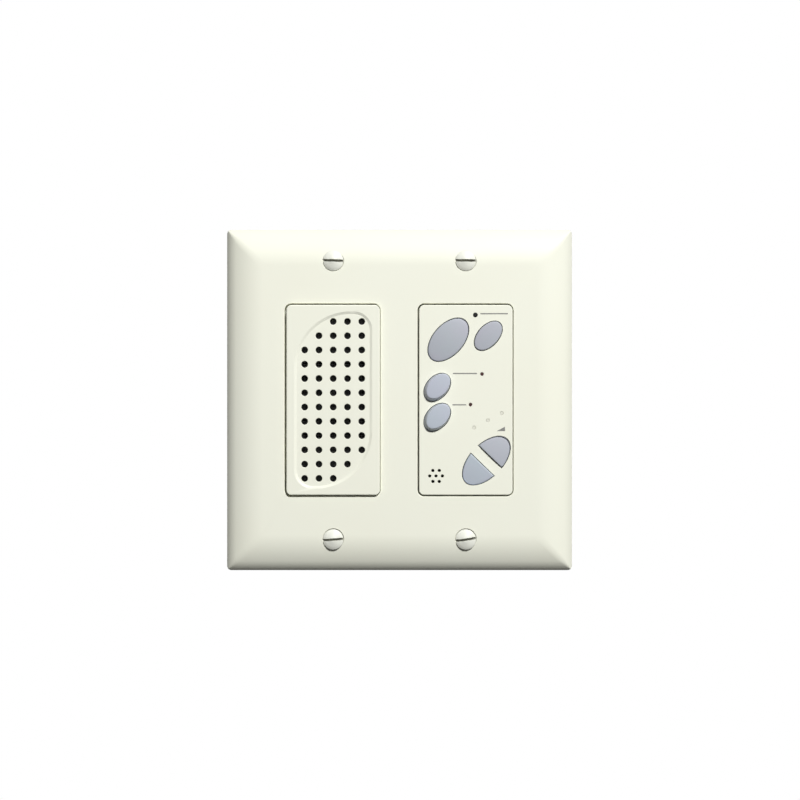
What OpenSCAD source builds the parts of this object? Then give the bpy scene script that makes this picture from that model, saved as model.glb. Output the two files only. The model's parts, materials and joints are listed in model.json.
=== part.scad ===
// Two-gang wall intercom: wall plate, speaker side, keypad side, straps and rear housing.
// Every part is drawn lying face up: x right, y up, z out of the wall, wall plane at z = 0.
// upright() then stands it up: the front faces -Y and the wall is the plane y = 0.
// All sizes are in millimetres.

/* [Wall plate] */
// Width of the wall plate
plate_w = 120.65; // [119:0.05:126]
// Height of the wall plate
plate_h = 119.06; // [118:0.02:125]
// Depth of the plate from the wall to its flat front
plate_d = 6.4; // [6:0.1:7.2]
// Thickness of the plate's shell
plate_t = 2.2; // [1.8:0.1:2.4]
// Width of the curved border
border_w = 12.7; // [11.5:0.1:13.5]
// Width of the tighter curve along the plate's edge
border_edge_w = 3.4; // [3:0.1:3.8]
// Tilt where the border's two curves meet
border_turn = 25; // [22:0.5:27]
// Height of the straight part of the side wall
border_rim = 1.5; // [1.2:0.1:2]
// Corner radius seen from the front
plate_corner_r = 1.6; // [0.6:0.1:3]
// Radius of the bosses behind the plate screws
plate_boss_r = 3.2; // [2.8:0.1:3.3]
// Thickness of the ribs behind the plate
rib_t = 1.2; // [1:0.1:1.4]
// Depth of the ribs behind the plate
rib_h = 1.1; // [0.8:0.1:1.2]
// Length of the ribs above and below the openings
rib_len = 16; // [14:0.5:17]
// Sideways distance of these ribs from the gang centre
rib_x = 10; // [8:0.5:12]

/* [Standard spacings] */
// Distance between the two gangs
gang_pitch = 46.04; // [45.8:0.02:46.2]
// Distance between the upper and lower plate screws
plate_screw_pitch = 96.84; // [96.6:0.02:97.2]
// Distance between the upper and lower box screws
box_screw_pitch = 83.34; // [83.1:0.02:83.5]
// Width of each opening in the plate
opening_w = 33.3; // [33:0.1:33.6]
// Height of each opening in the plate
opening_h = 67; // [66.6:0.1:67.4]
// Corner radius of each opening
opening_r = 2.4; // [1.8:0.1:3]

/* [Screws] */
// Radius of the plate and box screw shanks
wall_screw_r = 1.75; // [1.7:0.01:1.78]
// Radius of the oval plate screw heads
plate_head_r = 3.55; // [3.4:0.05:3.7]
// Height of the dome on a plate screw head
plate_dome_h = 1.1; // [0.8:0.1:1.3]
// Length of a plate screw below its head rim
plate_screw_len = 12.5; // [10:0.5:14]
// Width of the plate screw slots
plate_slot_w = 0.85; // [0.7:0.05:1.2]
// Depth of the plate screw slots
plate_slot_d = 1.5; // [1.2:0.1:1.7]
// Radius of the box screw heads
box_head_r = 3.3; // [3:0.05:3.35]
// Height of the box screw heads
box_head_h = 2.2; // [1.8:0.1:2.4]
// How far the box screws reach behind the wall plane
box_screw_reach = 25; // [20:1:32]
// Radius of the box screw necks inside the strap slots
box_neck_r = 1.5; // [1.4:0.05:1.6]
// Width of the box screw slots
box_slot_w = 1.1; // [0.9:0.1:1.3]
// Radius of the small self-tapping screw shanks
small_screw_r = 1.05; // [0.95:0.05:1.1]
// Width of the small screw slots
small_slot_w = 0.5; // [0.4:0.05:0.6]
// Depth of the small screw slots
small_slot_d = 0.5; // [0.4:0.05:0.6]
// Clearance around a screw in its pilot hole
pilot_gap = 0.05; // [0.05:0.01:0.1]
// Clearance around a screw in a plain hole
screw_gap = 0.25; // [0.2:0.05:0.3]

/* [Bezels] */
// Gap between a bezel and its opening
bezel_gap = 0.4; // [0.3:0.05:0.5]
// Gap between a bezel and its opening, above and below
bezel_gap_y = 0.5; // [0.4:0.05:0.6]
// How far the speaker bezel sits right of the middle of its opening
speaker_set = 0.25; // [0:0.05:0.25]
// How far the keypad bezel sits right of the middle of its opening
keypad_set = 0.1; // [0:0.05:0.2]
// Thickness of the bezel faces and skirts
bezel_t = 1.6; // [1.4:0.1:1.8]
// How far the speaker bezel stands in front of the plate
speaker_proud = 1.2; // [0.8:0.1:1.6]
// How far the keypad bezel stands in front of the plate
keypad_proud = 0.5; // [0.3:0.1:0.8]
// Rounding of the speaker bezel's front edge
speaker_edge_r = 0.5; // [0.4:0.1:1]
// Rounding of the keypad bezel's front edge
keypad_edge_r = 0.4; // [0.3:0.1:0.6]
// Distance from the bezel screws to the outer edge of the flange
flange_margin = 2.6; // [2.4:0.1:3]
// Gap between the two flanges
flange_mid_gap = 3.24; // [2.8:0.02:4]
// Thickness of the flange
flange_t = 1.5; // [1.3:0.1:1.6]
// Sideways distance of the bezel screws from the bezel's side
bezel_screw_out = 2.55; // [2.4:0.05:2.7]
// Height of the bezel screws above and below the gang centre
bezel_screw_y = 30; // [29:0.5:31]
// Radius of the bezel screw heads
bezel_head_r = 1.7; // [1.5:0.1:1.8]
// Length of the bezel screws below their heads
bezel_screw_len = 8; // [7:0.5:9]
// Stake pins, sideways from the gang centre
stake_x = 18; // [17.6:0.1:18.2]
// Stake pins, above and below the gang centre
stake_y = 21.5; // [20:0.5:23]
// Radius of the stake pins
stake_r = 1; // [0.8:0.05:1.1]
// Radius of the flattened pin ends
stake_head_r = 1.7; // [1.5:0.05:1.75]
// Thickness of the flattened pin ends
stake_head_t = 0.7; // [0.5:0.1:0.9]

/* [Speaker grille] */
// Width of the leaf-shaped recess
leaf_w = 26.2; // [25.5:0.1:27]
// Height of the leaf-shaped recess
leaf_h = 60.6; // [60:0.1:62]
// Depth of the recess
leaf_d = 0.4; // [0.3:0.1:0.7]
// Width of the sloping side of the recess
leaf_slope = 0.9; // [0.5:0.1:1.2]
// Large corner radius of the recess, upper left and lower right
leaf_big_r = 19.3; // [17:0.1:20]
// Small corner radius of the recess
leaf_small_r = 6; // [4.5:0.1:6.5]
// Distance between the grille holes
hole_pitch = 4.95; // [4.8:0.05:5]
// Radius of the grille holes
hole_r = 1.15; // [1:0.05:1.25]
// Columns of grille holes
hole_cols = 5; // [4:1:5]
// Rows of grille holes
hole_rows = 12; // [10:1:12]
// Thickness of the screen behind the holes
screen_t = 0.3; // [0.2:0.05:0.4]
// Gap around the screen
screen_gap = 0.3; // [0.2:0.05:0.4]

/* [Keys] */
// Gap between a key and its hole
key_gap = 0.2; // [0.15:0.05:0.3]
// How far the low keys stand in front of the keypad
key_proud = 0.8; // [0.6:0.1:1.2]
// How far the two tall keys stand in front of the keypad
tall_key_proud = 2; // [1.8:0.1:2.4]
// Reach of the lugs that keep a key in its hole
key_flange_w = 0.9; // [0.7:0.1:1]
// Thickness of these lugs
key_flange_t = 1; // [0.8:0.1:1.2]
// Width of these lugs
key_lug_w = 4; // [3:0.1:4.4]
// Clearance around these lugs
lug_gap = 0.25; // [0.2:0.05:0.3]
// Draft of the low keys
key_draft = 0.1; // [0.05:0.05:0.2]
// Draft of the two tall keys
tall_key_draft = 0.45; // [0.4:0.05:0.5]
// How far the top of a tall key is set along its length
tall_key_lean = 0.55; // [0:0.05:0.55]
// Radius of the domed key tops
key_crown_r = 60; // [50:5:120]
// Turn of the talk key from level
talk_turn = 48.5; // [45:0.5:50]
// Turn of the answer, monitor and mute keys from level
key_turn = 48; // [45:0.5:50]
// Turn of the volume keys from level
volume_turn = 46; // [44:0.5:48]
// Talk key, right of the gang centre
talk_x = -6.1; // [-6.3:0.1:-5.5]
// Talk key, above the gang centre
talk_y = 20.9; // [20.6:0.1:21.5]
// Half length of the talk key
talk_a = 8.85; // [8.4:0.05:9.2]
// Half width of the talk key
talk_b = 5.25; // [5:0.05:5.5]
// Answer key, right of the gang centre
answer_x = 7.75; // [7.5:0.05:8.2]
// Answer key, above the gang centre
answer_y = 22.25; // [22:0.05:22.8]
// Half length of the answer key
answer_a = 6; // [5.5:0.1:6.2]
// Half width of the answer key
answer_b = 3.6; // [3.4:0.05:3.9]
// Monitor and mute keys, in from the bezel's left side
side_key_in = 6.3; // [6.2:0.05:6.8]
// Monitor and mute keys, above and below the gang centre
side_key_y = 5.2; // [5.05:0.05:5.4]
// How far the middle between the two tall keys lies below the gang centre
side_key_drop = 0.8; // [0.4:0.05:1]
// Half length of the monitor and mute keys
side_key_a = 5.5; // [5.3:0.05:5.7]
// Half width of the monitor and mute keys
side_key_b = 3.75; // [3.6:0.05:3.9]
// Volume keys, in from the bezel's right side
volume_in = 9.15; // [9.1:0.05:9.6]
// Volume keys, below the gang centre
volume_y = 21.05; // [20.6:0.05:21.3]
// Half length of the oval that the volume keys share
volume_a = 10.35; // [10:0.05:10.4]
// Half width of the oval that the volume keys share
volume_b = 5.65; // [5.4:0.05:5.7]
// Half width of the strip between the volume keys
volume_split = 1.95; // [1.8:0.05:2.2]
// Travel of the low keys
press_travel = 0.8; // [0.5:0.1:1]
// Travel of the two tall keys
latch_travel = 2; // [1.5:0.1:2]

/* [Lights and microphone] */
// Radius of the answer light
answer_light_r = 0.75; // [0.6:0.05:0.8]
// Radius of the other lights
small_light_r = 0.55; // [0.5:0.05:0.65]
// Answer light, right of the gang centre
answer_light_x = 3.3; // [3.2:0.1:4]
// Answer light, above the gang centre
answer_light_y = 29.5; // [29.3:0.1:29.8]
// Monitor light, right of the gang centre
monitor_light_x = 5.6; // [5:0.1:6.5]
// Monitor light, above the gang centre
monitor_light_y = 9; // [8.8:0.1:9.6]
// Mute light, right of the gang centre
mute_light_x = 1.6; // [1.5:0.1:2.5]
// Mute light, below the gang centre
mute_light_y = 1.6; // [1:0.1:2]
// Middle level light, in from the bezel's right side
level_in = 8.6; // [8.3:0.05:8.8]
// Middle level light, below the gang centre
level_y = 7.1; // [6.8:0.05:7.3]
// Sideways step between the level lights
level_step_x = 4.8; // [4.5:0.05:4.95]
// Upward step between the level lights
level_step_y = 2.5; // [2.2:0.1:2.6]
// Microphone, in from the bezel's left side
mic_in = 5.9; // [5.9:0.05:6.3]
// Microphone, below the gang centre
mic_y = 26.4; // [25.8:0.1:26.6]
// Radius of the microphone capsule
mic_r = 3; // [2.8:0.1:3.1]
// Radius of the microphone holes
mic_hole_r = 0.55; // [0.4:0.05:0.6]
// Radius of the ring of microphone holes
mic_ring_r = 2.2; // [1.8:0.1:2.3]
// Height of the microphone capsule
mic_t = 2.7; // [2.5:0.1:2.8]
// Wall of the rubber boot
boot_wall = 1.2; // [1:0.1:1.2]
// Height of the rubber boot
boot_h = 2.85; // [2.7:0.05:3]
// Radius of the capsule's two leads
lead_r = 0.3; // [0.25:0.05:0.4]
// Distance of these leads from the capsule's centre
lead_x = 1.2; // [1:0.1:1.3]
// Radius of the shoulder on a light
light_shoulder_r = 1.25; // [1.1:0.05:1.3]
// Radius of a light below its shoulder
light_stem_r = 0.9; // [0.7:0.05:1]
// Width of the chip under a light
light_chip_w = 1.6; // [1.4:0.1:1.8]
// Height of the chip under a light
light_chip_h = 1.2; // [1:0.1:1.4]
// Thickness of the chip under a light
light_chip_t = 0.8; // [0.6:0.1:1]

/* [Circuit board] */
// Distance from the keypad's back to the circuit board
board_drop = 7.4; // [7.2:0.1:7.6]
// How far the circuit board reaches past the bezel's inner walls
board_over = 0.85; // [0.6:0.05:0.9]
// Height of the circuit board
board_h = 62; // [60:0.5:63]
// Thickness of the circuit board
board_t = 1.6; // [1.4:0.1:1.7]
// Radius of the posts that carry the board
board_post_r = 1.9; // [1.7:0.1:2]
// Distance of these posts from the bezel's inner walls
board_post_in = 1.85; // [1.75:0.05:2]
// Radius of the board screw shanks
board_screw_r = 0.85; // [0.75:0.05:0.9]
// Radius of the board screw heads
board_head_r = 1.6; // [1.4:0.1:1.7]
// Height of the board screw heads
board_head_h = 1.2; // [1:0.1:1.3]
// Length of the board screws below their heads
board_screw_len = 5.6; // [5:0.1:5.8]
// Width of a switch housing
switch_w = 6; // [5.8:0.1:6.2]
// Height of a switch housing
switch_h = 3.4; // [3.2:0.1:3.4]
// Radius of a switch plunger
plunger_r = 1.7; // [1.6:0.05:1.8]
// How far a plunger stands out of its housing
plunger_out = 1.6; // [1.5:0.1:1.8]
// How far a plunger reaches into its housing
plunger_in = 0.5; // [0.4:0.1:0.6]
// Clearance around a plunger
plunger_gap = 0.1; // [0.08:0.01:0.15]
// Radius of the stem under a key
stem_r = 1.6; // [1.4:0.1:1.7]
// Width of the two chips
chip_w = 6.4; // [6.2:0.1:6.6]
// Height of the two chips
chip_h = 3.4; // [3:0.1:3.6]
// Gap between the chips and the board
chip_lift = 0.5; // [0.4:0.05:0.6]
// Pins on each chip
pins = 14; // [12:2:14]
// Distance between the pins
pin_pitch = 2.54; // [2.5:0.01:2.54]
// Width of a pin
pin_w = 1; // [0.8:0.1:1.2]
// Thickness of a pin
pin_t = 0.6; // [0.5:0.05:0.6]
// Height of a pin
pin_h = 2.4; // [2.2:0.1:2.6]
// Radius of the capacitors
cap_r = 2.6; // [2.4:0.1:2.7]
// Height of the capacitors
cap_h = 7; // [6.5:0.1:7.4]
// Gap between the capacitors and the terminal block
cap_gap = 0.6; // [0.5:0.05:0.7]
// Width of the scored cross on a capacitor
cap_score = 0.5; // [0.4:0.05:0.6]
// Gap between the amplifier chip and the capacitors
amplifier_gap = 0.4; // [0.3:0.05:0.5]
// Amplifier chip, above the gang centre
amplifier_y = 14.5; // [14:0.1:15]
// Control chip, left of the gang centre
control_x = 2; // [1:0.1:3]
// Control chip, below the gang centre
control_y = 25.5; // [25.2:0.1:26]

/* [Terminals] */
// Poles of the terminal block
poles = 8; // [6:1:8]
// Distance between the poles
pole_pitch = 5; // [4.8:0.05:5.08]
// Middle of the terminal block, in from the bezel's inner wall
block_in = 9.25; // [9.2:0.05:9.4]
// Width of the terminal block
block_w = 10; // [9.6:0.1:10.1]
// Depth of the terminal block
block_d = 12.5; // [12:0.1:13]
// Width of a wire entry
entry_w = 3.2; // [3:0.1:3.4]
// Height of a wire entry
entry_h = 3.4; // [3:0.1:3.6]
// Depth of a wire entry
entry_d = 8; // [7:0.5:9]
// Distance of the entries and the screws from the block's middle
pole_x = 2.4; // [2.3:0.05:2.6]
// Radius of the terminal screw heads
pole_head_r = 1.75; // [1.6:0.05:1.8]
// Height of the terminal screw heads
pole_head_h = 1.6; // [1.4:0.1:1.8]
// Depth of the recess over a terminal screw
pole_sink = 2.6; // [2.4:0.1:3]
// Length of the terminal screws below their heads
pole_screw_len = 5; // [4.5:0.1:5.2]
// Speaker header, in from the edge of the board
header_in = 3; // [2.6:0.1:3.4]
// Width of the speaker header
header_w = 4.6; // [4.2:0.1:5]
// Length of the speaker header
header_l = 6; // [5.6:0.1:6.4]
// Height of the speaker header
header_h = 4.5; // [4.2:0.1:4.8]
// Radius of the speaker wires
wire_r = 0.6; // [0.5:0.05:0.7]
// Bend radius of the speaker wires
wire_bend = 1.6; // [1.4:0.1:1.8]

/* [Straps and housing] */
// Thickness of the steel straps
strap_t = 1.4; // [1.2:0.1:1.5]
// Width of the straps
strap_w = 84; // [80:1:86]
// Depth of the strap foot along the housing
strap_foot = 12; // [11:0.5:13]
// Distance of the straps from the plate's upper and lower edges
strap_inset = 6.31; // [6:0.01:7]
// Length of the box screw slots
strap_slot_len = 7; // [6:0.5:8]
// Width of the notch in the middle of a strap
strap_notch_w = 12; // [10:0.5:14]
// Depth of this notch
strap_notch_d = 9; // [7:0.5:10]
// Strap screws, sideways from the middle
strap_screw_x = 12; // [11:0.5:14]
// Strap screws, behind the wall plane
strap_screw_z = 7.5; // [7:0.1:8]
// Radius of the strap screw heads
strap_head_r = 2; // [1.8:0.1:2.2]
// Height of the strap screw heads
strap_head_h = 1.4; // [1.2:0.1:1.6]
// Length of the strap screws below their heads
strap_screw_len = 6; // [5.5:0.1:6.2]
// Radius of the bosses that take the strap screws
strap_boss_r = 2.7; // [2.4:0.1:3]
// Length of these bosses
strap_boss_len = 5; // [4.5:0.1:5]
// How far the rear housing reaches past the flanges
housing_lip = 0.83; // [0.6:0.01:1]
// Height of the rear housing
housing_h = 70; // [69.6:0.1:70.4]
// Wall thickness of the rear housing
housing_t = 2; // [1.8:0.1:2.2]
// Corner radius of the rear housing
housing_r = 3; // [2.5:0.1:3.5]
// Radius of the posts under the bezel screws
post_r = 2.4; // [2.2:0.1:2.5]
// Gap around the terminal block in the housing
block_gap = 0.3; // [0.2:0.05:0.4]
// Width of the wire notch in the dividing wall
wire_notch = 8; // [7.5:0.1:9]
// Depth of the housing behind the speaker
speaker_depth = 22; // [21.5:0.5:26]
// Depth of the housing behind the keypad
keypad_depth = 14; // [13.8:0.1:14.6]

/* [Speaker] */
// Radius of the speaker frame
speaker_r = 20; // [19.6:0.1:20.2]
// Least gap between the speaker and the housing
speaker_wall_gap = 0.23; // [0.2:0.01:0.4]
// Width of the speaker baffle
baffle_w = 39.2; // [38:0.1:39.6]
// Thickness of the speaker baffle
baffle_t = 1.6; // [1.4:0.1:1.8]
// Gap around the speaker baffle
baffle_gap = 0.3; // [0.2:0.05:0.4]
// Thickness of the speaker gasket
gasket_t = 0.8; // [0.6:0.1:1]
// Thickness of the speaker frame
frame_t = 0.8; // [0.6:0.1:1]
// Radius of the speaker screw shanks
frame_screw_r = 0.8; // [0.7:0.05:0.9]
// Radius of the speaker screw heads
frame_head_r = 1.4; // [1.2:0.1:1.5]
// Height of the speaker screw heads
frame_head_h = 0.9; // [0.8:0.1:1]
// Distance of the speaker screws from the frame's edge
frame_screw_in = 1.5; // [1.4:0.1:1.7]
// Height of the speaker basket
basket_h = 7; // [6.6:0.1:7.6]
// Radius of the speaker magnet
magnet_r = 11.5; // [10.5:0.1:12]
// Thickness of the speaker magnet
magnet_t = 5; // [4:0.1:5.2]
// Thickness of the steel plates on either side of the magnet
pole_plate_t = 2; // [1.8:0.1:2.2]
// Radius of the pole in the middle
pole_r = 3.6; // [3.4:0.1:3.7]
// Radius of the voice coil
coil_r = 4.15; // [4.05:0.05:4.2]
// Wall of the voice coil
coil_wall = 0.3; // [0.25:0.05:0.35]
// Gap between the voice coil and the steel around it
coil_gap = 0.3; // [0.25:0.05:0.4]
// Thickness of the cone's rim and edge roll
film_t = 0.25; // [0.2:0.05:0.35]
// Depth of the cone
cone_h = 4.4; // [4.2:0.1:4.6]
// Crown radius of the dust cap
cap_crown_r = 9.08; // [9:0.02:9.2]
// Speaker tags, sideways from the speaker's middle
tag_in = 13.2; // [13:0.1:13.4]
// Speaker tags, above and below the middle
tag_y = 2; // [1.8:0.1:2.2]
// Length of the speaker tags
tag_len = 3.6; // [3.4:0.1:4]
// Travel of the cone to either side
cone_travel = 0.4; // [0.2:0.05:0.5]

/* [Hidden] */
$fn = 64;

ivory = [0.95, 0.95, 0.89];
key_grey = [0.72, 0.75, 0.76];
steel = [0.72, 0.73, 0.74];
brass = [0.78, 0.66, 0.36];
black = [0.1, 0.1, 0.11];
charcoal = [0.22, 0.22, 0.23];
board_green = [0.1, 0.36, 0.2];
light_red = [0.4, 0.08, 0.08];

half_gang = gang_pitch / 2;
hair = 0.05;
bite = 0.3;

border_drop = plate_d - border_rim;
border_big_r = (border_w - border_edge_w) / sin(border_turn);
border_big_z = plate_d - border_big_r;
border_edge_drop = border_drop - border_big_r * (1 - cos(border_turn));
border_edge_r = norm([border_edge_w, border_edge_drop])
  / (2 * sin(atan2(border_edge_drop, border_edge_w) - border_turn));
plate_back = plate_d - plate_t;
sink_gap = 0.3;
sink_r = plate_head_r + sink_gap;
plate_hole_r = wall_screw_r + 0.25;
head_slope = tan(41);
head_sunk = 0.05;
slot_turns = [-2, -1, 4, 8];

rim_z = strap_t;
flange_z = rim_z + flange_t;
flange_h = housing_h;
insert_w = opening_w - 2 * bezel_gap;
insert_h = opening_h - 2 * bezel_gap_y;
insert_r = opening_r - bezel_gap;
bezel_screw_x = insert_w / 2 + bezel_screw_out;
flange_in = half_gang - flange_mid_gap / 2;
flange_out = bezel_screw_x + flange_margin;
well_w = insert_w - 2 * bezel_t;
well_h = insert_h - 2 * bezel_t;
speaker_front = plate_d + speaker_proud;
speaker_back = speaker_front - bezel_t;
keypad_front = plate_d + keypad_proud;
keypad_back = keypad_front - bezel_t;
bezel_head_h = min(1.1, plate_back - flange_z - 0.15);

side_key_x = insert_w / 2 - side_key_in;
volume_x = insert_w / 2 - volume_in;
level_x = insert_w / 2 - level_in;
mic_x = insert_w / 2 - mic_in;
key_flange_z = keypad_back - 0.1;
key_low = key_flange_z - key_flange_t;
board_z = keypad_back - board_drop;
board_rear = board_z - board_t;
board_w = well_w + 2 * board_over;
switch_z = board_z + switch_h;
tip_z = switch_z + plunger_out;
plunger_low = switch_z - plunger_in;
bore_low = plunger_low - latch_travel - plunger_gap;
volume_u = (volume_split + volume_a) / 2 - 0.55;
light_chip_top = board_z + light_chip_t;
board_post_x = well_w / 2 - board_post_in;
board_posts = [[-board_post_x, 27.2], [board_post_x - 0.2, 11.5], [0.4 - board_post_x, -16.5],
  [board_post_x, -28.3]];

block_x = well_w / 2 - block_in;
block_h = poles * pole_pitch;
block_low = board_rear - block_d;
cap_x = block_x - block_w / 2 - cap_gap - cap_r;
amplifier_x = cap_x - cap_r - amplifier_gap - chip_w / 2 - pin_t / 2 - 0.2;
header_x = header_in - board_w / 2;

wall_y = housing_h / 2;
housing_w = gang_pitch + 2 * max(flange_out + housing_lip, speaker_r + speaker_wall_gap + housing_t);
strap_y = wall_y + hair;
foot_y = strap_y + strap_t;
strap_top = plate_h / 2 - strap_inset;

baffle_low = rim_z - baffle_t;
frame_z = baffle_low - gasket_t;
frame_low = frame_z - frame_t;
basket_low = frame_z - basket_h;
basket_floor = basket_low - frame_t;
top_plate_low = basket_floor - pole_plate_t;
magnet_low = top_plate_low - magnet_t;
yoke_low = magnet_low - pole_plate_t;
hole_in_baffle_r = speaker_r - 3;
edge_r = speaker_r - 4.2;
cone_r = speaker_r - 6.8;
gap_r = coil_r + coil_gap;
coil_low = basket_floor - pole_plate_t + cone_travel;
tag_x = tag_in - half_gang;
tag_low = basket_floor - tag_len;
wire_z = tag_low + wire_bend;

module upright() {
  rotate([90, 0, 0]) children();
}

module at_speaker() {
  translate([-half_gang, 0, 0]) children();
}

module at_keypad() {
  translate([half_gang, 0, 0]) children();
}

module at_gangs() {
  for (s = [-1, 1]) translate([s * half_gang, 0, 0]) children();
}

module at_corners(x, y) {
  for (sx = [-1, 1], sy = [-1, 1]) translate([sx * x, sy * y, 0]) children();
}

module rounded(w, h, r) {
  square([w - 2 * r, h], center = true);
  square([w, h - 2 * r], center = true);
  for (sx = [-1, 1], sy = [-1, 1])
    translate([sx * (w / 2 - r), sy * (h / 2 - r)]) circle(r);
}

module slab(w, h, r, low, high) {
  translate([0, 0, low]) linear_extrude(high - low) rounded(w, h, r);
}

module box(w, h, low, high) {
  translate([-w / 2, -h / 2, low]) cube([w, h, high - low]);
}

module rod(r, low, high) {
  translate([0, 0, low]) cylinder(r = r, h = high - low);
}

module tube(r, bore, low, high) {
  difference() {
    rod(r, low, high);
    rod(bore, low - 1, high + 1);
  }
}

module oval(a, b, low, high) {
  translate([0, 0, low]) scale([a / b, 1, 1]) cylinder(r = b, h = high - low);
}

module pillow_profile(w, low, high, run, cz, r) {
  intersection() {
    translate([-w / 2, low]) square([w, high - low]);
    union() {
      translate([-w / 2 + run, low]) square([w - 2 * run, high - low]);
      if (cz > low) translate([-w / 2, low]) square([w, cz - low]);
      for (s = [-1, 1]) translate([s * (w / 2 - run), cz]) circle(r, $fn = 240);
    }
  }
}

module pillow(w, h, low, high, run, cz, r) {
  intersection() {
    rotate([90, 0, 0]) linear_extrude(2 * h, center = true) pillow_profile(w, low, high, run, cz, r);
    rotate([90, 0, 90]) linear_extrude(2 * w, center = true) pillow_profile(h, low, high, run, cz, r);
  }
}

// Section of the plate's border: a wide curve from the flat front, then a tighter one to the edge
module border_profile(w, low, inset) {
  big = border_big_r - inset;
  edge = border_edge_r - inset;
  flat = w / 2 - border_w;
  step = border_big_r - border_edge_r;
  reach = [sin(border_turn), cos(border_turn)];
  intersection() {
    translate([-w / 2, low]) square([w, plate_d - inset - low]);
    union() {
      translate([-flat, low]) square([2 * flat, plate_d - inset - low]);
      for (s = [0, 1]) mirror([s, 0]) translate([flat, border_big_z]) {
        intersection() {
          circle(big, $fn = 360);
          polygon([[0, 0], 2 * big * reach, [0, 2 * big]]);
        }
        translate(step * reach) intersection() {
          circle(edge, $fn = 240);
          polygon([[0, 0], [0, -2 * edge], [2 * edge, -2 * edge], [2 * edge, 2 * edge], 2 * edge * reach]);
        }
      }
    }
  }
}

module border_solid(low, inset) {
  intersection() {
    rotate([90, 0, 0]) linear_extrude(2 * plate_h, center = true) border_profile(plate_w, low, inset);
    rotate([90, 0, 90]) linear_extrude(2 * plate_w, center = true) border_profile(plate_h, low, inset);
  }
}

module crown(top, big_r, reach, low) {
  rotate_extrude() intersection() {
    translate([0, top - big_r]) circle(big_r, $fn = 720);
    translate([0, low]) square([reach, top - low + 1]);
  }
}

// A screw along z: the head sits on z = 0 and the shank hangs below
module pan_screw(head_r, head_h, shank_r, len, slot_w, slot_d) {
  difference() {
    union() {
      rod(head_r, 0, head_h);
      rod(shank_r, -len, 0.1);
    }
    translate([-head_r - 1, -slot_w / 2, head_h - slot_d]) cube([2 * head_r + 2, slot_w, slot_d + 1]);
  }
}

module at_plate_screws() {
  at_corners(half_gang, plate_screw_pitch / 2) children();
}

module at_box_screws() {
  at_corners(half_gang, box_screw_pitch / 2) children();
}

module plate_screw_hole() {
  depth = (sink_r - plate_hole_r) / head_slope;
  rod(plate_hole_r, -1, plate_d + 1);
  rotate_extrude() polygon([[0, plate_d - depth], [plate_hole_r, plate_d - depth], [sink_r, plate_d],
    [sink_r, plate_d + 1], [0, plate_d + 1]]);
}

module plate_ribs() {
  low = plate_back - rib_h;
  box(rib_t, opening_h, low, plate_back + bite);
  for (s = [-1, 1], g = [-1, 1], k = [-1, 1])
    translate([g * half_gang + k * rib_x, s * (opening_h + rib_len) / 2, 0])
      box(rib_t, rib_len, low, plate_back + bite);
}

module wall_plate() {
  color(ivory) upright() difference() {
    union() {
      difference() {
        intersection() {
          border_solid(0, 0);
          slab(plate_w, plate_h, plate_corner_r, -1, plate_d + 1);
        }
        border_solid(-1, plate_t);
      }
      at_plate_screws() rod(plate_boss_r, rim_z + 0.1, plate_back + bite);
      plate_ribs();
    }
    for (x = [-half_gang - speaker_set, half_gang - keypad_set]) translate([x, 0, 0])
      slab(opening_w, opening_h, opening_r, -1, plate_d + 1);
    at_plate_screws() plate_screw_hole();
  }
}

module plate_screw() {
  lip = 0.15;
  cone = (plate_head_r - wall_screw_r) / head_slope;
  dome_r = (plate_head_r * plate_head_r + plate_dome_h * plate_dome_h) / (2 * plate_dome_h);
  difference() {
    rotate_extrude() {
      polygon([[0, -plate_screw_len], [wall_screw_r, -plate_screw_len], [wall_screw_r, -cone],
        [plate_head_r, 0], [plate_head_r, lip], [0, lip]]);
      intersection() {
        translate([0, lip + plate_dome_h - dome_r]) circle(dome_r, $fn = 360);
        square([plate_head_r, plate_dome_h + 1]);
      }
    }
    translate([-2 * plate_head_r, -plate_slot_w / 2, lip + plate_dome_h - plate_slot_d])
      cube([4 * plate_head_r, plate_slot_w, 2 * plate_slot_d]);
  }
}

module plate_screws() {
  color(ivory) upright() for (i = [0 : 3])
    translate([(i % 2 == 0 ? -1 : 1) * half_gang, (i < 2 ? 1 : -1) * plate_screw_pitch / 2,
      plate_d - head_sunk]) rotate([0, 0, slot_turns[i]]) plate_screw();
}

// The flange reaches further on the outer side of its gang; inner is 1 when that gang is on the left
module bezel_shell(front, edge, inner) {
  difference() {
    union() {
      intersection() {
        pillow(insert_w, insert_h, rim_z, front, edge, front - edge, edge);
        slab(insert_w, insert_h, insert_r, rim_z, front);
      }
      translate([inner * (flange_in - flange_out) / 2, 0, 0])
        slab(flange_in + flange_out, flange_h, 1, rim_z, flange_z);
    }
    slab(well_w, well_h, 0.8, rim_z - 1, front - bezel_t);
    at_corners(bezel_screw_x, bezel_screw_y) rod(small_screw_r + screw_gap, rim_z - 1, flange_z + 1);
  }
}

module leaf_side(len) {
  top = len / 2 + 2 * leaf_slope;
  polygon([[-len / 2, 0], [len / 2, 0], [top, 2 * leaf_d], [-top, 2 * leaf_d]]);
}

// The quarter of the plane beyond a corner's centre, to the side that sx and sy point to
module beyond(x, y, sx, sy, r) {
  reach = r + 4 * leaf_slope;
  translate([x - (sx < 0 ? reach : 0), y - (sy < 0 ? reach : 0), -leaf_d]) cube([reach, reach, 4 * leaf_d]);
}

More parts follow.
